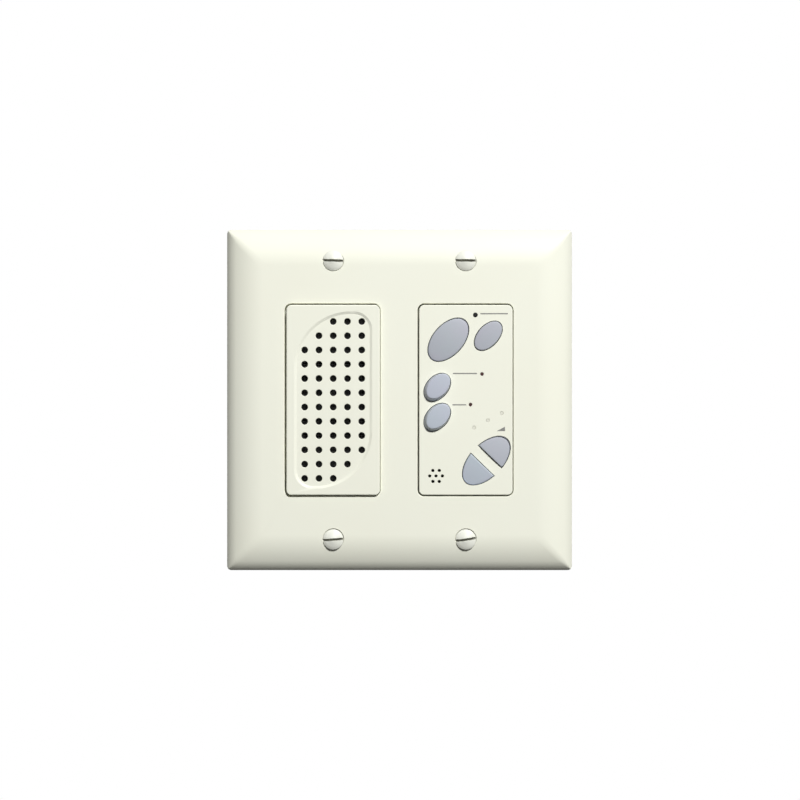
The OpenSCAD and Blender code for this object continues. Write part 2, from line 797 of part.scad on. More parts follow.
// The recess: four sloping sides, with a cone in place of each corner
module leaf_pocket() {
  w = leaf_w - leaf_slope;
  h = leaf_h - leaf_slope;
  radii = [leaf_big_r, leaf_small_r, leaf_small_r, leaf_big_r];
  sides = [[-1, 1], [1, 1], [-1, -1], [1, -1]];
  difference() {
    intersection() {
      rotate([90, 0, 0]) linear_extrude(2 * h, center = true) leaf_side(w);
      rotate([90, 0, 90]) linear_extrude(2 * w, center = true) leaf_side(h);
    }
    for (i = [0 : 3]) {
      r = radii[i] - leaf_slope / 2;
      beyond(sides[i][0] * (w / 2 - r), sides[i][1] * (h / 2 - r), sides[i][0], sides[i][1], r);
    }
  }
  for (i = [0 : 3]) {
    r = radii[i] - leaf_slope / 2;
    x = sides[i][0] * (w / 2 - r);
    y = sides[i][1] * (h / 2 - r);
    intersection() {
      translate([x, y, 0]) cylinder(r1 = r, r2 = r + 2 * leaf_slope, h = 2 * leaf_d);
      beyond(x, y, sides[i][0], sides[i][1], r);
    }
  }
}

// The two tight corners of the leaf have no holes
module grille_holes() {
  for (row = [0 : hole_rows - 1], col = [0 : hole_cols - 1])
    if (row + col >= 2 && hole_rows - 1 - row + hole_cols - 1 - col >= 2)
      translate([(col - (hole_cols - 1) / 2) * hole_pitch, ((hole_rows - 1) / 2 - row) * hole_pitch, 0])
        rod(hole_r, speaker_back - 1, speaker_front + 1);
}

module stake_pins(gap, low, high) {
  at_corners(stake_x, stake_y) rod(stake_r + gap, low, high);
}

module speaker_bezel() {
  color(ivory) upright() at_speaker() {
    difference() {
      bezel_shell(speaker_front, speaker_edge_r, 1);
      translate([0, 0, speaker_front - leaf_d]) leaf_pocket();
      grille_holes();
    }
    stake_pins(0, baffle_low - hair - bite, rim_z + bite);
    at_corners(stake_x, stake_y) rod(stake_head_r, baffle_low - hair - stake_head_t, baffle_low - hair);
  }
}

module dust_screen() {
  top = speaker_back - hair;
  color(black) upright() at_speaker() box(well_w - 2 * screen_gap, well_h - 2 * screen_gap, top - screen_t, top);
}

module at_talk() {
  translate([talk_x, talk_y, 0]) rotate([0, 0, talk_turn]) children();
}

module at_answer() {
  translate([answer_x, answer_y, 0]) rotate([0, 0, key_turn]) children();
}

module at_monitor() {
  translate([-side_key_x, side_key_y - side_key_drop, 0]) rotate([0, 0, key_turn]) children();
}

module at_mute() {
  translate([-side_key_x, -side_key_y - side_key_drop, 0]) rotate([0, 0, key_turn]) children();
}

module at_volume() {
  translate([volume_x, -volume_y, 0]) rotate([0, 0, volume_turn]) children();
}

module volume_half(inset) {
  translate([volume_split + inset, -2 * volume_b, key_low - plate_d])
    cube([2 * volume_a, 4 * volume_b, 4 * plate_d]);
}

// Each hole also clears the bezel's inner wall down to where its key reaches when pressed
module key_holes() {
  low = key_low - press_travel - lug_gap;
  tall_low = key_low - latch_travel - lug_gap;
  high = keypad_front + 1;
  at_talk() oval(talk_a + key_gap, talk_b + key_gap, low, high);
  at_answer() oval(answer_a + key_gap, answer_b + key_gap, low, high);
  at_monitor() oval(side_key_a + key_gap, side_key_b + key_gap, tall_low, high);
  at_mute() oval(side_key_a + key_gap, side_key_b + key_gap, tall_low, high);
  at_volume() for (t = [0, 180]) rotate([0, 0, t]) intersection() {
    oval(volume_a + key_gap, volume_b + key_gap, low, high);
    volume_half(-key_gap);
  }
}

module at_small_lights() {
  translate([monitor_light_x, monitor_light_y, 0]) children();
  translate([mute_light_x, -mute_light_y, 0]) children();
  at_level_lights() children();
}

module at_level_lights() {
  for (i = [-1 : 1]) translate([level_x + i * level_step_x, -level_y + i * level_step_y, 0]) children();
}

module at_answer_light() {
  translate([answer_light_x, answer_light_y, 0]) children();
}

module at_mic() {
  translate([-mic_x, -mic_y, 0]) children();
}

module mic_holes() {
  rod(mic_hole_r, keypad_back - 1, keypad_front + 1);
  for (i = [0 : 5]) rotate([0, 0, 60 * i]) translate([mic_ring_r, 0, 0])
    rod(mic_hole_r, keypad_back - 1, keypad_front + 1);
}

module keypad_bezel() {
  color(ivory) upright() at_keypad() difference() {
    union() {
      bezel_shell(keypad_front, keypad_edge_r, -1);
      for (p = board_posts) translate([p[0], p[1], 0]) rod(board_post_r, board_z, keypad_back + bite);
    }
    key_holes();
    at_answer_light() rod(answer_light_r + hair, keypad_back - 1, keypad_front + 1);
    at_small_lights() rod(small_light_r + hair, keypad_back - 1, keypad_front + 1);
    at_mic() mic_holes();
    for (p = board_posts) translate([p[0], p[1], 0])
      rod(board_screw_r + pilot_gap, board_z - 1, board_z + board_screw_len);
  }
}

module key_body(a, b, proud, draft, lean) {
  top = keypad_front + proud;
  rise = proud + 0.2;
  oval(a, b, key_low, keypad_front);
  intersection() {
    translate([0, 0, top - rise]) multmatrix([[1, 0, lean / rise, 0], [0, 1, 0, 0], [0, 0, 1, 0]])
      scale([a / b, 1, 1]) cylinder(r1 = b, r2 = b - draft, h = rise);
    crown(top, key_crown_r, 2 * a, keypad_front - 1);
  }
}

module key_cap(a, b, proud, draft, lean) {
  key_body(a, b, proud, draft, lean);
  rod(stem_r, tip_z, key_low + bite);
}

// Two lugs behind the panel, at the ends of the key
module key_lugs(a, b) {
  intersection() {
    oval(a + key_flange_w, b + key_flange_w, key_low, key_flange_z);
    box(2 * (a + key_flange_w), key_lug_w, key_low, key_flange_z);
  }
}

// Lugs stop short of the bezel's inner walls
module in_well() {
  intersection() {
    children();
    box(well_w - 2 * lug_gap, well_h - 2 * lug_gap, key_low, key_flange_z);
  }
}

module volume_cap() {
  intersection() {
    key_body(volume_a, volume_b, key_proud, key_draft, 0);
    volume_half(0);
  }
  translate([volume_u, 0, 0]) rod(stem_r, tip_z, key_low + bite);
}

module volume_lugs() {
  intersection() {
    key_lugs(volume_a, volume_b);
    volume_half(-key_flange_w);
  }
}

module plunger() {
  color(charcoal) rod(plunger_r, plunger_low, tip_z);
}

module switch_body() {
  difference() {
    box(switch_w, switch_w, board_z, switch_z);
    rod(plunger_r + plunger_gap, bore_low, switch_z + 1);
  }
}

module talk_button() {
  color(key_grey) upright() at_keypad() {
    at_talk() key_cap(talk_a, talk_b, key_proud, key_draft, 0);
    in_well() at_talk() key_lugs(talk_a, talk_b);
  }
}

module answer_button() {
  color(key_grey) upright() at_keypad() {
    at_answer() key_cap(answer_a, answer_b, key_proud, key_draft, 0);
    in_well() at_answer() key_lugs(answer_a, answer_b);
  }
}

module monitor_button() {
  color(key_grey) upright() at_keypad() {
    at_monitor() key_cap(side_key_a, side_key_b, tall_key_proud, tall_key_draft, tall_key_lean);
    in_well() at_monitor() key_lugs(side_key_a, side_key_b);
  }
}

module mute_button() {
  color(key_grey) upright() at_keypad() {
    at_mute() key_cap(side_key_a, side_key_b, tall_key_proud, tall_key_draft, tall_key_lean);
    in_well() at_mute() key_lugs(side_key_a, side_key_b);
  }
}

module volume_up_button() {
  color(key_grey) upright() at_keypad() {
    at_volume() volume_cap();
    in_well() at_volume() volume_lugs();
  }
}

module volume_down_button() {
  color(key_grey) upright() at_keypad() {
    at_volume() rotate([0, 0, 180]) volume_cap();
    in_well() at_volume() rotate([0, 0, 180]) volume_lugs();
  }
}

module talk_plunger() {
  upright() at_keypad() at_talk() plunger();
}

module answer_plunger() {
  upright() at_keypad() at_answer() plunger();
}

module monitor_plunger() {
  upright() at_keypad() at_monitor() plunger();
}

module mute_plunger() {
  upright() at_keypad() at_mute() plunger();
}

module volume_up_plunger() {
  upright() at_keypad() at_volume() translate([volume_u, 0, 0]) plunger();
}

module volume_down_plunger() {
  upright() at_keypad() at_volume() translate([-volume_u, 0, 0]) plunger();
}

// The switch housings stand square to the board, whatever the turn of their key
module switch_bodies() {
  du = volume_u * cos(volume_turn);
  dv = volume_u * sin(volume_turn);
  spots = [[talk_x, talk_y], [answer_x, answer_y], [-side_key_x, side_key_y - side_key_drop],
    [-side_key_x, -side_key_y - side_key_drop],
    [volume_x + du, -volume_y + dv], [volume_x - du, -volume_y - dv]];
  color(charcoal) upright() at_keypad() for (p = spots) translate([p[0], p[1], 0]) switch_body();
}

module circuit_board() {
  color(board_green) upright() at_keypad() difference() {
    slab(board_w, board_h, 1, board_rear, board_z);
    for (p = board_posts) translate([p[0], p[1], 0])
      rod(board_screw_r + screw_gap, board_rear - 1, board_z + 1);
  }
}

module board_screws() {
  color(steel) upright() at_keypad() for (p = board_posts)
    translate([p[0], p[1], board_rear]) rotate([180, 0, 0])
      pan_screw(board_head_r, board_head_h, board_screw_r, board_screw_len, small_slot_w, small_slot_d);
}

module light_pipe(r, top) {
  color(light_red) {
    rod(r, key_low, top);
    rod(light_shoulder_r, key_low, keypad_back - hair);
    rod(light_stem_r, light_chip_top + hair, key_low + bite);
  }
}

module answer_light() {
  upright() at_keypad() at_answer_light() light_pipe(answer_light_r, keypad_front + 0.1);
}

module monitor_light() {
  upright() at_keypad() translate([monitor_light_x, monitor_light_y, 0])
    light_pipe(small_light_r, keypad_front + 0.1);
}

module mute_light() {
  upright() at_keypad() translate([mute_light_x, -mute_light_y, 0])
    light_pipe(small_light_r, keypad_front + 0.1);
}

module level_lights() {
  upright() at_keypad() at_level_lights() light_pipe(small_light_r, keypad_front);
}

module light_chips() {
  color([0.9, 0.88, 0.7]) upright() at_keypad() {
    at_answer_light() box(light_chip_w, light_chip_h, board_z, light_chip_top);
    at_small_lights() box(light_chip_w, light_chip_h, board_z, light_chip_top);
  }
}

module microphone() {
  top = keypad_back - 0.4;
  color(steel) upright() at_keypad() at_mic() {
    rod(mic_r, top - mic_t, top);
    for (s = [-1, 1]) translate([s * lead_x, 0, 0]) rod(lead_r, board_z, top - mic_t + bite);
  }
}

module microphone_boot() {
  color(black) upright() at_keypad() at_mic()
    tube(mic_r + boot_wall, mic_r + hair, keypad_back - hair - boot_h, keypad_back - hair);
}

module dual_row_chip() {
  rows = pins / 2;
  box(chip_w, rows * pin_pitch, board_rear - chip_lift - chip_h, board_rear - chip_lift);
  for (s = [-1, 1], i = [0 : rows - 1])
    translate([s * (chip_w / 2 + 0.2), (i - (rows - 1) / 2) * pin_pitch, 0])
      box(pin_t, pin_w, board_rear - pin_h, board_rear);
}

module amplifier_chip() {
  color(black) upright() at_keypad() translate([amplifier_x, amplifier_y, 0]) dual_row_chip();
}

module control_chip() {
  color(black) upright() at_keypad() translate([-control_x, -control_y, 0]) rotate([0, 0, 90]) dual_row_chip();
}

module capacitor() {
  low = board_rear - cap_h;
  difference() {
    rod(cap_r, low, board_rear);
    for (t = [0, 90]) rotate([0, 0, t]) box(1.4 * cap_r, cap_score, low - cap_score, low + cap_score / 2);
  }
}

module capacitors() {
  color(charcoal) upright() at_keypad() {
    for (s = [-1, 1]) translate([cap_x, amplifier_y + s * (cap_r + 0.9), 0]) capacitor();
    translate([block_x, block_h / 2 + cap_gap + 2 * cap_r, 0]) capacitor();
  }
}

module at_poles(dx) {
  for (i = [0 : poles - 1]) translate([block_x + dx, (i - (poles - 1) / 2) * pole_pitch, 0]) children();
}

module terminal_block() {
  color([0.16, 0.34, 0.24]) upright() at_keypad() difference() {
    translate([block_x, 0, 0]) box(block_w, block_h, block_low, board_rear);
    at_poles(pole_x) box(entry_w, entry_h, block_low - 1, block_low + entry_d);
    at_poles(-pole_x) rod(pole_head_r + 0.15, block_low - 1, block_low + pole_sink);
    at_poles(-pole_x) rod(small_screw_r + pilot_gap, block_low, block_low + pole_sink + pole_screw_len + 0.4);
  }
}

module terminal_screws() {
  color(steel) upright() at_keypad() at_poles(-pole_x) translate([0, 0, block_low + pole_sink - hair])
    rotate([180, 0, 0])
      pan_screw(pole_head_r, pole_head_h, small_screw_r, pole_screw_len, small_slot_w, small_slot_d);
}

module speaker_header() {
  color([0.93, 0.92, 0.87]) upright() at_keypad() translate([header_x, 0, 0])
    box(header_w, header_l, board_rear - header_h, board_rear);
}

// Each wire leaves a speaker tag, crosses the dividing wall and bends into the header
module speaker_wire(y) {
  from = tag_x + 0.6 + hair;
  turn_x = half_gang + header_x - wire_bend;
  turn_z = wire_z + wire_bend;
  translate([from, y, wire_z]) rotate([0, 90, 0]) cylinder(r = wire_r, h = turn_x - from);
  translate([turn_x, y, turn_z]) rotate([90, 0, 0]) rotate([0, 0, -90])
    rotate_extrude(angle = 90) translate([wire_bend, 0]) circle(wire_r, $fn = 32);
  translate([turn_x + wire_bend, y, 0]) rod(wire_r, turn_z, board_rear - header_h - hair);
}

module speaker_wires() {
  color([0.6, 0.12, 0.1]) upright() for (s = [-1, 1]) speaker_wire(s * tag_y);
}

module slot_2d(len, wid) {
  square([len - wid, wid], center = true);
  for (s = [-1, 1]) translate([s * (len - wid) / 2, 0]) circle(wid / 2);
}

module strap() {
  h = strap_top - strap_y;
  difference() {
    union() {
      translate([0, strap_y + h / 2, 0]) slab(strap_w, h, 1.5, 0, strap_t);
      translate([0, strap_y + strap_t / 2, 0]) box(strap_w, strap_t, -strap_foot, strap_t);
    }
    for (s = [-1, 1]) translate([s * half_gang, 0, -1]) {
      translate([0, box_screw_pitch / 2, 0]) linear_extrude(strap_t + 2)
        slot_2d(strap_slot_len, 2 * (wall_screw_r + screw_gap));
      translate([0, plate_screw_pitch / 2, 0]) cylinder(r = wall_screw_r + pilot_gap, h = strap_t + 2);
    }
    translate([0, strap_top, 0]) slab(strap_notch_w, 2 * strap_notch_d, 2, -1, strap_t + 1);
    for (s = [-1, 1]) translate([s * strap_screw_x, strap_y - 1, -strap_screw_z])
      rotate([-90, 0, 0]) cylinder(r = small_screw_r + screw_gap, h = strap_t + 2);
  }
}

module top_strap() {
  color(steel) upright() strap();
}

module bottom_strap() {
  color(steel) upright() rotate([0, 0, 180]) strap();
}

module strap_screws() {
  color(steel) upright() for (t = [0, 180], s = [-1, 1]) rotate([0, 0, t])
    translate([s * strap_screw_x, foot_y, -strap_screw_z]) rotate([-90, 0, 0])
      pan_screw(strap_head_r, strap_head_h, small_screw_r, strap_screw_len, small_slot_w, small_slot_d);
}

// The neck is thinner than the thread, so a screw stays in its strap when it is loose
module box_screw() {
  translate([0, 0, rim_z]) pan_screw(box_head_r, box_head_h, box_neck_r, rim_z + bite, box_slot_w, box_slot_w);
  rod(wall_screw_r, -box_screw_reach, 0);
}

module box_screws() {
  color(steel) upright() at_box_screws() box_screw();
}

module housing_shell() {
  inner_h = housing_h - 2 * housing_t;
  cell_w = housing_w / 2 - 1.5 * housing_t;
  cell_x = housing_t / 2 + cell_w / 2;
  difference() {
    union() {
      slab(housing_w, housing_h, housing_r, -keypad_depth, rim_z);
      translate([-housing_w / 4 + housing_t / 4, 0, 0])
        slab(housing_w / 2 + housing_t / 2, housing_h, housing_r, -speaker_depth, 0);
    }
    translate([-cell_x, 0, 0]) slab(cell_w, inner_h, housing_r / 2, -speaker_depth + housing_t, rim_z + 1);
    translate([cell_x, 0, 0]) slab(cell_w, inner_h, housing_r / 2, -keypad_depth + housing_t, rim_z + 1);
  }
}

module bezel_posts() {
  translate([-half_gang, 0, 0]) at_corners(bezel_screw_x, bezel_screw_y)
    rod(post_r, -speaker_depth + 1, rim_z - hair);
  translate([half_gang, 0, 0]) at_corners(bezel_screw_x, bezel_screw_y)
    rod(post_r, -keypad_depth + 1, rim_z - hair);
}

module strap_bosses(r, from, to) {
  for (t = [0, 180], s = [-1, 1]) rotate([0, 0, t]) translate([s * strap_screw_x, from, -strap_screw_z])
    rotate([-90, 0, 0]) cylinder(r = r, h = to - from);
}

module rear_housing() {
  color(charcoal) upright() difference() {
    union() {
      housing_shell();
      bezel_posts();
      strap_bosses(strap_boss_r, wall_y - strap_boss_len, wall_y - 1);
    }
    at_gangs() at_corners(bezel_screw_x, bezel_screw_y)
      rod(small_screw_r + pilot_gap, rim_z - bezel_screw_len, rim_z + 1);
    strap_bosses(small_screw_r + pilot_gap, wall_y - strap_screw_len, wall_y + 1);
    at_keypad() translate([block_x, 0, 0])
      box(block_w + 2 * block_gap, block_h + 2 * block_gap, -keypad_depth - 1, -keypad_depth + housing_t + 1);
    box(3 * housing_t, wire_notch, wire_z - wire_r - 0.5, wire_z + wire_bend + wire_r);
  }
}

module bezel_screws() {
  color(steel) upright() at_gangs() at_corners(bezel_screw_x, bezel_screw_y) translate([0, 0, flange_z])
    pan_screw(bezel_head_r, bezel_head_h, small_screw_r, bezel_screw_len, small_slot_w, small_slot_d);
}

module speaker_baffle() {
  w = baffle_w;
  h = housing_h - 2 * (housing_t + baffle_gap);
  color(charcoal) upright() at_speaker() difference() {
    slab(w, h, 1, baffle_low, rim_z);
    rod(hole_in_baffle_r, baffle_low - 1, rim_z + 1);
    at_corners(w / 2, h / 2) box(2 * (w / 2 - bezel_screw_x + post_r + baffle_gap),
      2 * (h / 2 - bezel_screw_y + post_r + baffle_gap), baffle_low - 1, rim_z + 1);
    stake_pins(hair, baffle_low - 1, rim_z + 1);
    at_speaker_screws() rod(frame_screw_r + pilot_gap, baffle_low - 1, rim_z - bite);
  }
}

module at_speaker_screws() {
  for (i = [0 : 3]) rotate([0, 0, 45 + 90 * i]) translate([speaker_r - frame_screw_in, 0, 0]) children();
}

module speaker_gasket() {
  color(black) upright() at_speaker() difference() {
    tube(speaker_r, hole_in_baffle_r + 0.2, frame_z, baffle_low);
    at_speaker_screws() rod(frame_screw_r + screw_gap, frame_z - 1, baffle_low + 1);
  }
}

module speaker_frame() {
  color(steel) upright() at_speaker() difference() {
    union() {
      rotate_extrude() polygon([[edge_r, frame_z], [speaker_r, frame_z], [speaker_r, frame_low],
        [edge_r + 1, frame_low], [magnet_r, basket_low], [magnet_r, basket_floor], [gap_r + 0.15, basket_floor],
        [gap_r + 0.15, basket_low], [magnet_r - 1, basket_low], [edge_r, frame_low]]);
      translate([magnet_r + 1, 0, 0]) box(7, 9, basket_floor, basket_low);
    }
    for (i = [0 : 3]) rotate([0, 0, 45 + 90 * i]) translate([magnet_r + 2, 0, 0])
      box(9, 8, basket_low + 1, frame_low - 1);
    at_speaker_screws() rod(frame_screw_r + screw_gap, frame_low - 1, frame_z + 1);
  }
}

module speaker_screws() {
  color(steel) upright() at_speaker() at_speaker_screws() translate([0, 0, frame_low]) rotate([180, 0, 0])
    pan_screw(frame_head_r, frame_head_h, frame_screw_r, frame_t + gasket_t + baffle_t - 0.5, small_slot_w,
      small_slot_d);
}

module speaker_terminals() {
  color(brass) upright() {
    translate([tag_x, 0, 0]) box(3, 8, basket_floor - 1, basket_floor);
    for (s = [-1, 1]) translate([tag_x, s * tag_y, 0]) box(1.2, 2, tag_low, basket_floor - 0.5);
  }
}

module speaker_surround() {
  mid = (cone_r + edge_r) / 2;
  roll = (edge_r - cone_r) / 2;
  color(black) upright() at_speaker() rotate_extrude() {
    intersection() {
      difference() {
        translate([mid, frame_z]) circle(roll + film_t);
        translate([mid, frame_z]) circle(roll);
      }
      translate([mid - 2 * roll, frame_z]) square([4 * roll, 2 * roll]);
    }
    translate([edge_r + 0.1, frame_z]) square([1, film_t]);
    translate([cone_r - 1, frame_z]) square([0.9, film_t]);
  }
}

module speaker_cone() {
  neck = frame_z - cone_h;
  color([0.2, 0.2, 0.2]) upright() at_speaker() rotate_extrude()
    polygon([[cone_r, frame_z], [cone_r - 1, frame_z], [coil_r + 0.1, neck], [coil_r + 0.1, neck - 0.45],
      [cone_r - 0.85, frame_z - 0.35], [cone_r, frame_z - 0.35]]);
}

module dust_cap() {
  top = frame_z - cone_h + 2;
  color([0.16, 0.16, 0.16]) upright() at_speaker() rotate_extrude() intersection() {
    difference() {
      translate([0, top - cap_crown_r]) circle(cap_crown_r, $fn = 240);
      translate([0, top - cap_crown_r]) circle(cap_crown_r - 0.3, $fn = 240);
    }
    translate([0, frame_z - cone_h + 0.6]) square([8, 5]);
  }
}

module voice_coil() {
  color([0.7, 0.4, 0.2]) upright() at_speaker()
    tube(coil_r, coil_r - coil_wall, coil_low, frame_z - cone_h + bite);
}

module speaker_top_plate() {
  color(steel) upright() at_speaker() tube(magnet_r - 0.5, gap_r, top_plate_low, basket_floor);
}

module speaker_magnet() {
  color(black) upright() at_speaker() tube(magnet_r, 6, magnet_low, top_plate_low);
}

module speaker_yoke() {
  color(steel) upright() at_speaker() {
    rod(magnet_r - 0.5, yoke_low, magnet_low);
    rod(pole_r, yoke_low + 1, basket_floor + 0.2);
  }
}

wall_plate();
plate_screws();
speaker_bezel();
dust_screen();
keypad_bezel();
talk_button();
answer_button();
monitor_button();
mute_button();
volume_up_button();
volume_down_button();
talk_plunger();
answer_plunger();
monitor_plunger();
mute_plunger();
volume_up_plunger();
volume_down_plunger();
switch_bodies();
circuit_board();
board_screws();
answer_light();
monitor_light();
mute_light();
level_lights();
light_chips();
microphone();
microphone_boot();
amplifier_chip();
control_chip();
capacitors();
terminal_block();
terminal_screws();
speaker_header();
speaker_wires();
top_strap();
bottom_strap();
strap_screws();
box_screws();
rear_housing();
bezel_screws();
speaker_baffle();
speaker_gasket();
speaker_frame();
speaker_screws();
speaker_terminals();
speaker_surround();
speaker_cone();
dust_cap();
voice_coil();
speaker_top_plate();
speaker_magnet();
speaker_yoke();
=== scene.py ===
# %% [markdown]
# # A two-gang wall intercom, dressed for a studio picture
# The solids come ready made and in place: a wall plate with two inserts, a loudspeaker behind
# the left one, six keys on the right one, and a housing that disappears into the wall.
# This lesson gives them soft edges, threads, a woven screen and real finishes.
# Everything is in metres, the front looks along -Y and +Z is up. Sizes that are easier to read in
# millimetres are written so, and multiplied by MM where a mesh is made.

# %% Load the frame
import json
from math import acos, copysign, cos, pi, radians, sin, sqrt

import bmesh
import bpy
from mathutils import Matrix, Vector

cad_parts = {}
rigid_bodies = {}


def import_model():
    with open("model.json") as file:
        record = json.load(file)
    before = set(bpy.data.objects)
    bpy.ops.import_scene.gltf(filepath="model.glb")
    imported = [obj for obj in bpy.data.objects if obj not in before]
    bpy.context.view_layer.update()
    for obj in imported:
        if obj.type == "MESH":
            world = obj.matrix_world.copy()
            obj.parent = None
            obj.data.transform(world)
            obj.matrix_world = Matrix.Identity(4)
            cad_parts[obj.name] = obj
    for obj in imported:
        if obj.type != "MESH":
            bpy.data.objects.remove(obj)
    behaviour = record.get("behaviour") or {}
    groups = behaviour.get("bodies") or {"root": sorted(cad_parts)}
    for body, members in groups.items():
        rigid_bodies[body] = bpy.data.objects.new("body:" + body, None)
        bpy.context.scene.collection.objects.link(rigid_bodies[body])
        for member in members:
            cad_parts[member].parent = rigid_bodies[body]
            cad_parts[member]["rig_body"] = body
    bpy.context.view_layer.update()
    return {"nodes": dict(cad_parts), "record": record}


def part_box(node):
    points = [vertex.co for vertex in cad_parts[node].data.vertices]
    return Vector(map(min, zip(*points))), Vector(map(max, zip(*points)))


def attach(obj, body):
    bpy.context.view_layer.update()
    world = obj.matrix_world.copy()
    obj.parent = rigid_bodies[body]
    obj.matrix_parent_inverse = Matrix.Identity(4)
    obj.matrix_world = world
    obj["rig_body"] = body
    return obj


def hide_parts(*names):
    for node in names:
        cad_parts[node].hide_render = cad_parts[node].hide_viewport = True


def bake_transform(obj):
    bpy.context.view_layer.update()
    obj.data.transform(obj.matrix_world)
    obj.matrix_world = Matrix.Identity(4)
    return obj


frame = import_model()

MM = 0.001
scene = bpy.context.scene

# %% [markdown]
# ## The camera
# A catalogue picture of a wall plate is taken square on, from far enough away that the edges
# stay parallel. A long lens at about 0.64 m does that. A shorter lens nearer by would show the
# sides of the plate, and an orthographic camera would lose the small step between rim and face.

# %% Camera
LENS_MM, SENSOR_MM = 82, 36
CAMERA_PLACE = (0.00017, -0.6392, 0)

camera = bpy.data.objects.new("camera", bpy.data.cameras.new("camera"))
scene.collection.objects.link(camera)
camera.data.lens = LENS_MM
camera.data.sensor_width = SENSOR_MM
camera.location = CAMERA_PLACE
camera.rotation_euler = (radians(90), 0, 0)
scene.camera = camera
scene.view_settings.view_transform = "Standard"
print("camera at", CAMERA_PLACE)

# %% [markdown]
# ## A few helpers for node trees
# Shader trees and geometry trees are built alike: add a node, set its plain values, link the
# rest. One short function does all three, so that a tree below reads like a list of steps.
# A Mix node keeps its number and colour sockets side by side under the same names, so two tiny
# functions pick the right ones.

# %% Node helpers
def put(tree, kind, inputs=None, **settings):
    """Add a node; an input given as a socket is linked, and any other value is set."""
    made = tree.nodes.new(kind)
    for key, value in settings.items():
        setattr(made, key, value)
    for key, value in (inputs or {}).items():
        if isinstance(value, bpy.types.NodeSocket):
            tree.links.new(value, made.inputs[key])
        else:
            made.inputs[key].default_value = value
    return made


def number(tree, how, *values):
    """The result of a Math node."""
    return put(tree, "ShaderNodeMath", dict(enumerate(values)), operation=how).outputs[0]


def vector(tree, **parts):
    """A vector from its X, Y and Z, each 0 where it isn't given."""
    return put(tree, "ShaderNodeCombineXYZ", parts).outputs[0]


def ramp(tree, value, low, high, to_low, to_high):
    """value from low..high mapped to to_low..to_high, and held there outside."""
    return put(tree, "ShaderNodeMapRange", {"Value": value, "From Min": low, "From Max": high,
                                            "To Min": to_low, "To Max": to_high}).outputs[0]


def mix_numbers(tree, factor, first, second):
    return put(tree, "ShaderNodeMix", {0: factor, 2: first, 3: second}, data_type="FLOAT").outputs[0]


def mix_colors(tree, factor, first, second):
    return put(tree, "ShaderNodeMix", {0: factor, 6: first, 7: second}, data_type="RGBA").outputs[2]


def object_coords(tree):
    """The place of each point in its own object."""
    return put(tree, "ShaderNodeTexCoord").outputs["Object"]


def new_group(name, kind, takes, gives):
    """A node group with named inputs (label, socket type, value) and outputs (label, type)."""
    group = bpy.data.node_groups.new(name, kind)
    for label, socket, value in takes:
        made = group.interface.new_socket(label, in_out="INPUT", socket_type=socket)
        if value is not None:
            made.default_value = value
    for label, socket in gives:
        group.interface.new_socket(label, in_out="OUTPUT", socket_type=socket)
    return group, group.nodes.new("NodeGroupInput").outputs, group.nodes.new("NodeGroupOutput")


print("node helpers ready")

# %% [markdown]
# ## Light and floor
# The face is lit by one soft lamp from the upper right, which leaves the left and lower borders
# in shade and throws short shadows under the keys. A weak wide lamp on the left opens the shade,
# and a third one behind the wall shows the back when the part is turned round.
# The background is white only for what the camera, mirrors and glass see, so it adds almost no
# light. The floor lies below the picture, because the plate hangs on a wall.

# %% Lamps
def soft_lamp(name, place, size, watts):
    """A round lamp of that width, turned to the middle of the object."""
    lamp = bpy.data.objects.new(name, bpy.data.lights.new(name, "AREA"))
    lamp.data.shape = "DISK"
    lamp.data.size = size
    lamp.data.energy = watts
    lamp.location = place
    lamp.rotation_euler = (-Vector(place)).to_track_quat("-Z", "Y").to_euler()
    scene.collection.objects.link(lamp)


soft_lamp("key_lamp", (0.55, -1.40, 1.10), size=0.26, watts=40.8)
soft_lamp("fill_lamp", (-0.75, -0.55, 0.05), size=0.8, watts=0.15)
soft_lamp("rear_lamp", (-0.5, 0.95, 0.55), size=0.7, watts=9.0)

# %% White surroundings
STRAY_LIGHT = 0.012


def seen_directly(tree):
    """1 for camera, glossy and transmission rays, and 0 for the rest."""
    path = put(tree, "ShaderNodeLightPath").outputs
    seen = number(tree, "MAXIMUM", path["Is Camera Ray"], path["Is Glossy Ray"])
    return number(tree, "MAXIMUM", seen, path["Is Transmission Ray"])


world = bpy.data.worlds.new("white_surroundings")
world.use_nodes = True
scene.world = world
sky = world.node_tree
sky.nodes.clear()
level = ramp(sky, seen_directly(sky), 0.0, 1.0, STRAY_LIGHT, 1.0)
glow = put(sky, "ShaderNodeBackground", {"Color": (1, 1, 1, 1), "Strength": level})
put(sky, "ShaderNodeOutputWorld", {"Surface": glow.outputs[0]})
print("background white, stray light", STRAY_LIGHT)

# %% Floor
FLOOR_Z, FLOOR_SIZE, FLOOR_GLOW = -0.42, 0.7, 0.9


def as_object(name, bm, material):
    """Turn bm into an object with one material."""
    mesh = bpy.data.meshes.new(name)
    bm.to_mesh(mesh)
    bm.free()
    mesh.materials.append(material)
    made = bpy.data.objects.new(name, mesh)
    scene.collection.objects.link(made)
    return made


floor_paint = bpy.data.materials.new("pale_floor")
floor_paint.use_nodes = True
paint = floor_paint.node_tree
paint.nodes.clear()
mottle = put(paint, "ShaderNodeTexNoise", {"Vector": object_coords(paint), "Scale": 3.0})
matt = put(paint, "ShaderNodeBsdfDiffuse", {"Color": ramp(paint, mottle.outputs[0], 0, 1, 0.11, 0.13)})
glow_level = number(paint, "MULTIPLY", seen_directly(paint), FLOOR_GLOW)
shine = put(paint, "ShaderNodeEmission", {"Strength": glow_level})
both = put(paint, "ShaderNodeAddShader", {0: matt.outputs[0], 1: shine.outputs[0]})
put(paint, "ShaderNodeOutputMaterial", {"Surface": both.outputs[0]})

